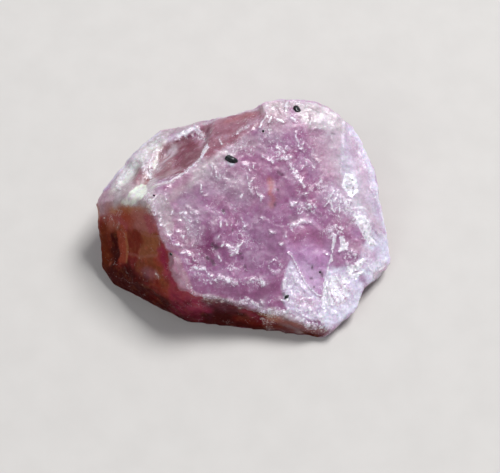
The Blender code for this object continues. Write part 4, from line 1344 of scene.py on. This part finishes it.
@dataclass(frozen=True)
class DarkGrain:
    """Black oxide grains, such as ilmenite: grown flats with a metal-like shine."""

    black: str = "#101216"
    grey: str = "#2C2F33"

    def material(self) -> bpy.types.Material:
        """Builds the material of the grains.

        Returns:
            The finished material.
        """
        material = bpy.data.materials.new("black_oxide_grain")
        material.use_nodes = True
        tree = material.node_tree
        tree.nodes.clear()
        place = add_node(tree, "TexCoord", out="Object")
        mottle = cloudy(tree, place, 0.12, 3.0)
        colour = add_node(
            tree, "ValToRGB", {"Fac": mottle}, "Color", stops=((0.4, self.black), (0.7, self.grey))
        )
        shader = add_node(
            tree, "BsdfPrincipled", {"Base Color": colour, "Metallic": 0.2, "Roughness": 0.28}, "BSDF"
        )
        add_node(tree, "OutputMaterial", {"Surface": shader})
        return material


@dataclass(frozen=True)
class FloorPaper:
    """Matt pale paper, slightly cloudy from its pressed fibres."""

    pale: str = "#CBC8C5"
    shade: str = "#C8C5C2"

    def material(self) -> bpy.types.Material:
        """Builds the material of the studio floor.

        Returns:
            The finished material.
        """
        material = bpy.data.materials.new("pale_floor_paper")
        material.use_nodes = True
        tree = material.node_tree
        tree.nodes.clear()
        place = add_node(tree, "TexCoord", out="Object")
        fibres = cloudy(tree, place, 2.5, 5.0)
        colour = add_node(
            tree, "ValToRGB", {"Fac": fibres}, "Color", stops=((0.35, self.shade), (0.65, self.pale))
        )
        shader = add_node(tree, "BsdfPrincipled", {"Base Color": colour, "Roughness": 0.9}, "BSDF")
        add_node(tree, "OutputMaterial", {"Surface": shader})
        return material


@dataclass
class CrystalSkin:
    """The detailed outer surface of the stone, in place of the plain solid. Sizes are millimetres."""

    grid: float = 0.1  # width of the even grid that the relief is made on
    weld: float = 1e-7  # corners closer than this, in metres, are one
    soften_share: float = 0.5
    soften_rounds: int = 5
    # Broad tilted flats, small ones, hackle ridges and grain.
    flat_width: float = 1.9
    flat_slope: float = 0.045
    flat_bend: tuple[float, float] = (1.3, 0.5)  # width and depth of the wander of their borders
    small_flat_width: float = 0.45
    small_flat_slope: float = 0.12
    small_flat_bend: tuple[float, float] = (0.9, 0.3)
    hackle_width: float = 0.8
    hackle_depth: float = 0.04
    grain_width: float = 0.25
    grain_depth: float = 0.012
    chip_width: float = 0.33
    chip_depth: float = 0.13
    calm_share: float = 0.22  # how much of the fine relief the unbroken skin keeps
    wall_share: float = 0.55  # and how much more the steep sides have
    steep: float = 0.35  # a side is steep where its broad normal rises less than this
    smooth_share: float = 0.85  # how much of all relief a SMOOTH zone takes away
    frays: tuple[tuple[float, float], ...] = ((0.5, 0.13), (0.17, 0.04))  # width and depth of each
    around_rounds: int = 30  # averaging over about a millimetre
    edge_rounds: int = 5
    edge_blur_rounds: int = 3
    sharp_edge: float = 0.035  # a place that stands out this far from its neighbours is a full edge
    inset: float = 0.035
    base_clearance: float = 0.35
    stain_side: Vector = field(default_factory=lambda: Vector((-0.65, -0.75, 0.1)).normalized())
    finish: RoseCorundum = field(default_factory=RoseCorundum)
    # Iron stain lies on the stone as an earthy film, so it hardly shines and hides the veils.
    stained_finish: RoseCorundum = field(
        default_factory=lambda: RoseCorundum(
            name="iron_stained_corundum_skin",
            veil="#B5764E",
            deep_share=(0.55, 0.3, 0.26, 1.0),
            fleck="#DCCFCB",
            ior=1.5,
            specular=0.05,
            roughness=0.42,
            veiled=0.2,
            whitened=0.7,
            depth=0.25,
        )
    )

    def build(self) -> bpy.types.Object:
        """Builds the skin and dresses it.

        Returns:
            The finished object, in metres, at the origin.
        """
        skin = self.even_copy(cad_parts[NODE])
        places = self.read(skin.data, "co")
        normals = self.read(skin.data, "normal")
        ends = self.edge_ends(skin.data)
        worn_edges = self.edge_wear(ends, places, normals)
        around = self.spread(normals, ends, self.around_rounds)
        points = [Vector(place) for place in places]
        ragged = np.array([self.fray(point) for point in points])
        tint, zones = self.ground(points, places, around, worn_edges)
        lift = self.lay_marks(places, normals, ragged, tint, zones)
        wall = smoothstep(self.steep, 0.0, around[:, 2])
        chips = np.array([noise.noise(p / self.chip_width) for p in points])
        chips = self.chip_depth * np.clip(worn_edges, 0.0, 1.0) * smoothstep(-0.1, 0.4, chips)
        steps = self.relief(points, zones, wall) + lift - chips
        steps *= smoothstep(0.0, self.base_clearance, places[:, 2])
        moved = places + normals * (steps - self.inset)[:, None]
        low, high = (np.array(corner) / METRES_PER_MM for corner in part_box(NODE))
        self.write(skin.data, np.clip(moved, low, high) * METRES_PER_MM)
        self.store(skin.data, tint, zones)
        log.info("%s: %d points, %d marks", skin.name, len(places), len(PLACED_MARKS))
        return skin

    def fray(self, place: Vector) -> Vector:
        """A small wander of that place, which frays the marks' edges."""
        (width, depth), (fine_width, fine_depth) = self.frays
        return noise.noise_vector(place / width) * depth + noise.noise_vector(place / fine_width) * fine_depth

    def store(self, mesh: bpy.types.Mesh, tint: np.ndarray, zones: dict[Zone, np.ndarray]) -> None:
        """Puts the tint, the zones and the two finishes on the mesh.

        Args:
            mesh: The skin's mesh.
            tint: The linear tint of each vertex.
            zones: The finished zones.
        """
        colours = mesh.attributes.new(TINT, "FLOAT_COLOR", "POINT")
        opaque = np.column_stack((tint, np.ones(len(tint))))
        colours.data.foreach_set("color", opaque.astype(np.float32).ravel())
        for zone, values in zones.items():
            stored = mesh.attributes.new(zone.value, "FLOAT", "POINT")
            stored.data.foreach_set("value", values.astype(np.float32))
        mesh.polygons.foreach_set("use_smooth", [True] * len(mesh.polygons))
        mesh.materials.clear()
        for finish in (self.finish, self.stained_finish):
            mesh.materials.append(finish.material())
        starts = np.zeros(len(mesh.polygons), np.int32)
        corners = np.zeros(len(mesh.loops), np.int32)
        mesh.polygons.foreach_get("loop_start", starts)
        mesh.loops.foreach_get("vertex_index", corners)
        stained = zones[Zone.STAIN][corners[starts]] > 0.5
        mesh.polygons.foreach_set("material_index", stained.astype(np.int32))
        mesh.update()

    def even_copy(self, node: bpy.types.Object) -> bpy.types.Object:
        """Copies the solid to an even grid in millimetres, with its facets softened.

        Args:
            node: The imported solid, which stays as it is.

        Returns:
            The copy as an object of its own.
        """
        shape = bmesh.new()
        shape.from_mesh(node.data)
        bmesh.ops.remove_doubles(shape, verts=shape.verts, dist=self.weld)
        bmesh.ops.scale(shape, vec=Vector.Fill(3, 1.0 / METRES_PER_MM), verts=shape.verts)
        draft = bpy.data.objects.new("skin_draft", bpy.data.meshes.new("skin_draft"))
        shape.to_mesh(draft.data)
        shape.free()
        bpy.context.scene.collection.objects.link(draft)
        remesh = draft.modifiers.new("even_grid", "REMESH")
        remesh.mode = "VOXEL"
        remesh.voxel_size = self.grid
        soften = draft.modifiers.new("soften", "SMOOTH")
        soften.factor = self.soften_share
        soften.iterations = self.soften_rounds
        graph = bpy.context.evaluated_depsgraph_get()
        mesh = bpy.data.meshes.new_from_object(draft.evaluated_get(graph))
        bpy.data.objects.remove(draft)
        skin = bpy.data.objects.new("crystal_skin", mesh)
        bpy.context.scene.collection.objects.link(skin)
        return skin

    def read(self, mesh: bpy.types.Mesh, what: str) -> np.ndarray:
        """Reads one vector of each vertex.

        Args:
            mesh: The mesh.
            what: The vector's name, such as "co" or "normal".

        Returns:
            The vectors, as rows.
        """
        flat = np.zeros(len(mesh.vertices) * 3)
        mesh.vertices.foreach_get(what, flat)
        return flat.reshape(-1, 3)

    def write(self, mesh: bpy.types.Mesh, places: np.ndarray) -> None:
        """Moves every vertex to its row."""
        mesh.vertices.foreach_set("co", places.ravel())
        mesh.update()

    def spread(self, values: np.ndarray, ends: np.ndarray, times: int) -> np.ndarray:
        """Averages each vertex's value with its neighbours'.

        Args:
            values: One value or row for each vertex.
            ends: The two vertices of each edge.
            times: How often it is done.

        Returns:
            The averaged values.
        """
        for _ in range(times):
            total = np.zeros_like(values)
            count = np.zeros(len(values))
            for own, other in ((0, 1), (1, 0)):
                np.add.at(total, ends[:, own], values[ends[:, other]])
                np.add.at(count, ends[:, own], 1.0)
            mean = total / (count if values.ndim == 1 else count[:, None])
            values = 0.5 * values + 0.5 * mean
        return values

    def edge_ends(self, mesh: bpy.types.Mesh) -> np.ndarray:
        """Reads how the mesh hangs together.

        Args:
            mesh: The mesh.

        Returns:
            The two vertices of each edge, as rows.
        """
        ends = np.zeros(len(mesh.edges) * 2, np.int64)
        mesh.edges.foreach_get("vertices", ends)
        return ends.reshape(-1, 2)

    def edge_wear(self, ends: np.ndarray, places: np.ndarray, normals: np.ndarray) -> np.ndarray:
        """How far each place lies on an outward edge.

        Args:
            ends: The two vertices of each edge.
            places: Vertex positions in millimetres.
            normals: Outward directions of the vertices.

        Returns:
            1 on a sharp edge, 0 on a flat and below 0 in a hollow.
        """
        around = self.spread(places, ends, self.edge_rounds)
        standing = np.einsum("ij,ij->i", places - around, normals)
        blurred = self.spread(standing, ends, self.edge_blur_rounds)
        return np.clip(blurred / self.sharp_edge, -1.0, 1.0)

    def drifts(
        self,
        points: list[Vector],
        width: float,
        start: tuple[float, float, float],
        roughness: float,
        octaves: int,
    ) -> np.ndarray:
        """Soft drifting patches.

        Args:
            points: Vertex positions in millimetres.
            width: How wide the largest patches are, in millimetres.
            start: Where in the noise they start, so that no two kinds are alike.
            roughness: How fast the smaller ones fade.
            octaves: How many sizes there are.

        Returns:
            One value for each vertex, about -1 to 1.
        """
        return np.array([noise.fractal(p / width + Vector(start), roughness, 2.0, octaves) for p in points])

    def ground(
        self, points: list[Vector], places: np.ndarray, normals: np.ndarray, worn_edges: np.ndarray
    ) -> tuple[np.ndarray, dict[Zone, np.ndarray]]:
        """The stone's colours and zones before any mark is laid, alike on all sides.

        Args:
            points: Vertex positions in millimetres, as vectors.
            places: The same as rows.
            normals: Outward directions of the vertices, averaged over about a millimetre.
            worn_edges: The result of edge_wear.

        Returns:
            The linear tint of each vertex, and one array for each zone.
        """
        patchy = self.drifts(points, 2.3, (3.1, 0.7, 5.2), 0.8, 4)
        blotch = self.drifts(points, 1.4, (9.4, 2.2, 1.3), 0.7, 4)
        drift = self.drifts(points, 3.4, (6.6, 1.9, 8.8), 0.8, 3)
        zones = {zone: np.zeros(len(places)) for zone in Zone}
        tint = np.tile(linear(Tone.LILAC.value)[:3], (len(places), 1))
        facing = normals @ np.array(self.stain_side)
        stain = smoothstep(0.4, 0.78, facing + 0.12 * blotch)
        wall = smoothstep(self.steep, 0.0, normals[:, 2])
        height = places[:, 2]
        low_clay = smoothstep(-0.1, 0.4, drift + blotch) * smoothstep(3.6, 0.4, height)
        # Each wash is a tone and how strongly it lies at each vertex, in the order of laying.
        washes = (
            (Tone.ROSE_LILAC, 0.7 * smoothstep(0.05, 0.45, patchy)),
            (Tone.GREY_LILAC, 0.6 * smoothstep(0.05, 0.5, -patchy)),
            (Tone.PURPLE, 0.5 * smoothstep(0.1, 0.5, drift)),
            (Tone.SHELL_PINK, 0.6 * wall * smoothstep(0.0, 0.4, -drift)),
            (Tone.BAND_ROSE, 0.7 * wall * smoothstep(0.05, 0.5, blotch) * smoothstep(6.0, 2.0, height)),
            (Tone.OLD_ROSE, 0.6 * wall * smoothstep(0.1, 0.5, -blotch)),
            (Tone.MILK, 0.5 * np.clip(worn_edges, 0.0, 1.0) * (1.0 - stain)),
            (Tone.CLAY, 0.8 * wall * (1.0 - stain) * low_clay),
            (Tone.BROWN, stain),
            (Tone.ROSEWOOD, 0.8 * stain * smoothstep(0.05, 0.4, patchy)),
            (Tone.OLIVE, 0.7 * stain * smoothstep(0.05, 0.4, -patchy)),
            # Painted shade: the stain turns oxblood and then near-black red towards the floor, darker than
            # its own browns.
            (Tone.OXBLOOD, 0.85 * stain * smoothstep(3.9, 2.5, height + 0.9 * blotch)),
            (Tone.BLOOD_DARK, 0.95 * stain * smoothstep(3.2, 1.8, height + 0.9 * blotch)),
        )
        for tone, share in washes:
            tint += share[:, None] * (np.array(linear(tone.value)[:3]) - tint)
        zones[Zone.STAIN] = stain
        # The skin is broken most on edges, walls and in patches, and the stain's film covers that.
        frost = 0.14 + 0.32 * patchy + 0.4 * worn_edges + 0.16 * wall
        zones[Zone.FROST] = np.clip(frost, 0.0, 1.0) * (1.0 - 0.95 * stain)
        return tint, zones

    def lay_marks(
        self,
        places: np.ndarray,
        normals: np.ndarray,
        ragged: np.ndarray,
        tint: np.ndarray,
        zones: dict[Zone, np.ndarray],
    ) -> np.ndarray:
        """Lays every mark over the ground, in order.

        Args:
            places: Vertex positions in millimetres.
            normals: Outward directions of the vertices.
            ragged: A small wander of each place.
            tint: The linear tint, changed in place.
            zones: The zones, changed in place.

        Returns:
            How far the marks lift each vertex, in millimetres.
        """
        lift = np.zeros(len(places))
        milk = np.array(linear(Tone.MILK.value)[:3])
        for mark in PLACED_MARKS:
            cover = mark.cover(places, normals, ragged)
            share = mark.strength * cover
            lift += mark.lift * cover
            if mark.what is Zone.THREAD:
                # The stone close to a crack is frosted and a little milky.
                zones[Zone.FROST] = np.maximum(zones[Zone.FROST], CRACK_FROST * share)
                tint += CRACK_MILK * np.clip(share, 0.0, 1.0)[:, None] * (milk - tint)
            if isinstance(mark.what, Tone):
                tint += share[:, None] * (np.array(linear(mark.what.value)[:3]) - tint)
            elif mark.strength < 0.0:
                zones[mark.what] *= 1.0 + share
            else:
                zones[mark.what] = np.maximum(zones[mark.what], share)
        return lift

    def relief(self, points: list[Vector], zones: dict[Zone, np.ndarray], wall: np.ndarray) -> np.ndarray:
        """How far the broken skin stands out at each vertex, in millimetres.

        Args:
            points: Vertex positions in millimetres.
            zones: The finished zones.
            wall: 1 on the steep sides, which broke more roughly, and 0 on the broad face.

        Returns:
            One height for each vertex.
        """
        broad = np.array([self.broad_flats(point) for point in points])
        fine = np.array([self.fine_breaks(point) for point in points])
        broken = np.clip(zones[Zone.FROST] + zones[Zone.CRUSHED] + self.wall_share * wall, 0.0, 1.0)
        share = self.calm_share + (1.0 - self.calm_share) * broken
        return (broad + fine * share) * (1.0 - self.smooth_share * zones[Zone.SMOOTH])

    def broad_flats(self, place: Vector) -> float:
        """Height of the broad tilted flats, whose edges catch the light."""
        return self.tilted_flats(self.bent(place, self.flat_bend), self.flat_width, self.flat_slope)

    def bent(self, place: Vector, bend: tuple[float, float]) -> Vector:
        """The place, pushed about by noise of that width and depth."""
        return place + noise.noise_vector(place / bend[0]) * bend[1]

    def fine_breaks(self, place: Vector) -> float:
        """Height of small flats, hackles and a fine grain.

        Args:
            place: A vertex position in millimetres.

        Returns:
            The height in millimetres, before the zones thin it out.
        """
        bent = self.bent(place, self.small_flat_bend)
        apart = bent + Vector((4.4, 8.1, 2.9))  # so that no small flat follows a broad one
        height = self.tilted_flats(apart, self.small_flat_width, self.small_flat_slope)
        ridges = noise.ridged_multi_fractal(bent / self.hackle_width, 0.9, 2.1, 4, 1.0, 1.4)
        grain = noise.fractal(place / self.grain_width, 0.7, 2.0, 2)
        return height + self.hackle_depth * (ridges - 0.8) + self.grain_depth * grain

    def tilted_flats(self, place: Vector, width: float, slope: float) -> float:
        """Height of flats that are each tilted their own way.

        Args:
            place: A position in millimetres.
            width: How wide the flats are, in millimetres.
            slope: How steep they can be, as a share.

        Returns:
            The height in millimetres.
        """
        spot = place / width
        centre = noise.voronoi(spot)[1][0]
        tilt = noise.noise_vector(centre * 5.3)
        return tilt.dot(spot - centre) * width * slope


@dataclass(frozen=True)
class Grain:
    """One mineral grain, in millimetres: where it sits, seen from above, its half sizes and its turn."""

    at: Place
    half: tuple[float, float, float]
    turn: float = 0.0


@dataclass
class MineralGrains:
    """The black grains in the stone's skin, as one piece."""

    grains: tuple[Grain, ...] = (
        Grain((-0.87, 2.41), (0.5, 0.31, 0.2), -16.0),
        Grain((3.66, 6.39), (0.3, 0.37, 0.2), 12.0),
        Grain((1.31, 4.51), (0.1, 0.1, 0.08)),
        Grain((-4.84, -3.91), (0.13, 0.13, 0.1)),
        Grain((-5.97, -0.51), (0.1, 0.08, 0.08)),
        Grain((2.88, -5.79), (0.2, 0.13, 0.1), 30.0),
        Grain((5.18, -3.93), (0.09, 0.09, 0.07)),
    )
    sink: float = 0.25  # how far each one's middle lies under the skin, as a share of its half height
    flats: int = 14
    flat_distance: float = 0.78  # how near the middle a flat cuts, as a share of the half size
    finish: DarkGrain = field(default_factory=DarkGrain)

    def build(self, skin: bpy.types.Object) -> bpy.types.Object:
        """Builds every grain on the finished skin.

        Args:
            skin: The detailed stone, which the grains sit in.

        Returns:
            The one object that holds all grains.
        """
        tree = BVHTree.FromObject(skin, bpy.context.evaluated_depsgraph_get())
        shape = bmesh.new()
        for index, grain in enumerate(self.grains):
            self.add_grain(shape, grain, index, tree)
        bmesh.ops.recalc_face_normals(shape, faces=shape.faces)
        mesh = bpy.data.meshes.new("dark_mineral_grains")
        shape.to_mesh(mesh)
        shape.free()
        piece = bpy.data.objects.new("dark_mineral_grains", mesh)
        bpy.context.scene.collection.objects.link(piece)
        mesh.materials.append(self.finish.material())
        log.info("%s: %d grains", piece.name, len(self.grains))
        return piece

    def add_grain(self, shape: bmesh.types.BMesh, grain: Grain, index: int, tree: BVHTree) -> None:
        """Adds one grain with cleaved flats, sunk in the skin below it.

        Args:
            shape: The mesh that collects the grains.
            grain: The grain's place and size.
            index: Its number, which gives it its own flats.
            tree: The skin that it sits in.
        """
        above = Vector((grain.at[0], grain.at[1], 20.0)) * METRES_PER_MM
        place, normal, _, _ = tree.ray_cast(above, Vector((0.0, 0.0, -1.0)))
        new = bmesh.ops.create_icosphere(shape, subdivisions=3, radius=1.0)["verts"]
        for vertex in new:
            for number in range(self.flats):
                facing = noise.noise_vector(Vector((index * 3.7, number * 2.9, 0.5))).normalized()
                beyond = vertex.co.dot(facing) - self.flat_distance
                if beyond > 0.0:
                    vertex.co -= facing * beyond
        lean = Vector((0.0, 0.0, 1.0)).rotation_difference(normal).to_matrix().to_4x4()
        turn = Matrix.Rotation(math.radians(grain.turn), 4, "Z")
        size = Matrix.Diagonal((*(side * METRES_PER_MM for side in grain.half), 1.0))
        sunk = place - normal * grain.half[2] * self.sink * METRES_PER_MM
        bmesh.ops.transform(shape, matrix=Matrix.Translation(sunk) @ lean @ turn @ size, verts=new)


@dataclass
class Studio:
    """Pale floor, soft lights and the camera. Sizes are millimetres, but for the floor's metres."""

    floor_side: float = 3.0
    key_place: tuple[float, float, float] = (224.0, 240.0, 448.0)
    key_side: float = 220.0
    key_watts: float = 3.52
    fill_place: tuple[float, float, float] = (-240.0, -280.0, 360.0)
    fill_side: float = 360.0
    fill_watts: float = 0.64
    sky: str = "#E6EAF2"
    sky_strength: float = 0.27
    lens: float = 100.0
    sensor: float = 36.0
    aim: tuple[float, float, float] = (0.415, -1.533, 3.196)
    camera_distance: float = 95.13
    camera_elevation: float = 60.0

    def build(self) -> None:
        """Builds the floor, the lights and the camera."""
        self.build_floor()
        self.build_light("key_light", self.key_place, self.key_side, self.key_watts)
        self.build_light("fill_light", self.fill_place, self.fill_side, self.fill_watts)
        self.build_sky()
        self.build_camera()
        bpy.context.scene.view_settings.view_transform = "Standard"
        log.info("studio: floor, 2 lights and camera")

    def build_floor(self) -> None:
        """A flat floor that the stone stands on."""
        shape = bmesh.new()
        bmesh.ops.create_grid(shape, x_segments=4, y_segments=4, size=self.floor_side / 2)
        mesh = bpy.data.meshes.new("studio_floor")
        shape.to_mesh(mesh)
        shape.free()
        floor = bpy.data.objects.new("studio_floor", mesh)
        bpy.context.scene.collection.objects.link(floor)
        mesh.materials.append(FloorPaper().material())

    def build_light(self, name: str, place: tuple[float, float, float], side: float, watts: float) -> None:
        """A square area light, turned to the stone.

        Args:
            name: The light's name.
            place: Where it hangs, in millimetres.
            side: Its side, in millimetres.
            watts: Its power.
        """
        light = bpy.data.lights.new(name, "AREA")
        light.size = side * METRES_PER_MM
        light.energy = watts
        lamp = bpy.data.objects.new(name, light)
        bpy.context.scene.collection.objects.link(lamp)
        lamp.location = Vector(place) * METRES_PER_MM
        lamp.rotation_euler = (Vector(self.aim) - Vector(place)).to_track_quat("-Z", "Y").to_euler()

    def build_sky(self) -> None:
        """Even pale light from all round."""
        world = bpy.data.worlds.new("studio_sky")
        world.use_nodes = True
        background = world.node_tree.nodes["Background"]
        background.inputs["Color"].default_value = linear(self.sky)
        background.inputs["Strength"].default_value = self.sky_strength
        bpy.context.scene.world = world

    def build_camera(self) -> None:
        """The camera, in front of the stone and well above it."""
        rise = math.radians(self.camera_elevation)
        back = Vector((0.0, -math.cos(rise), math.sin(rise)))
        camera = bpy.data.objects.new("camera", bpy.data.cameras.new("camera"))
        camera.data.lens = self.lens
        camera.data.sensor_width = self.sensor
        camera.data.clip_start = 0.001
        camera.data.clip_end = 20.0
        camera.location = (Vector(self.aim) + back * self.camera_distance) * METRES_PER_MM
        camera.rotation_euler = (-back).to_track_quat("-Z", "Y").to_euler()
        bpy.context.scene.collection.objects.link(camera)
        bpy.context.scene.camera = camera


def main() -> None:
    """Builds the stone, its grains and the studio, and logs what each one built."""
    logging.basicConfig(level=logging.INFO, format="%(name)s: %(message)s")
    noise.seed_set(NOISE_SEED)
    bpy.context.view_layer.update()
    skin = CrystalSkin().build()
    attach(skin, BODY)
    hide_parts(NODE)
    grains = MineralGrains().build(skin)
    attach(grains, BODY)
    Studio().build()


if __name__ == "__main__":
    main()
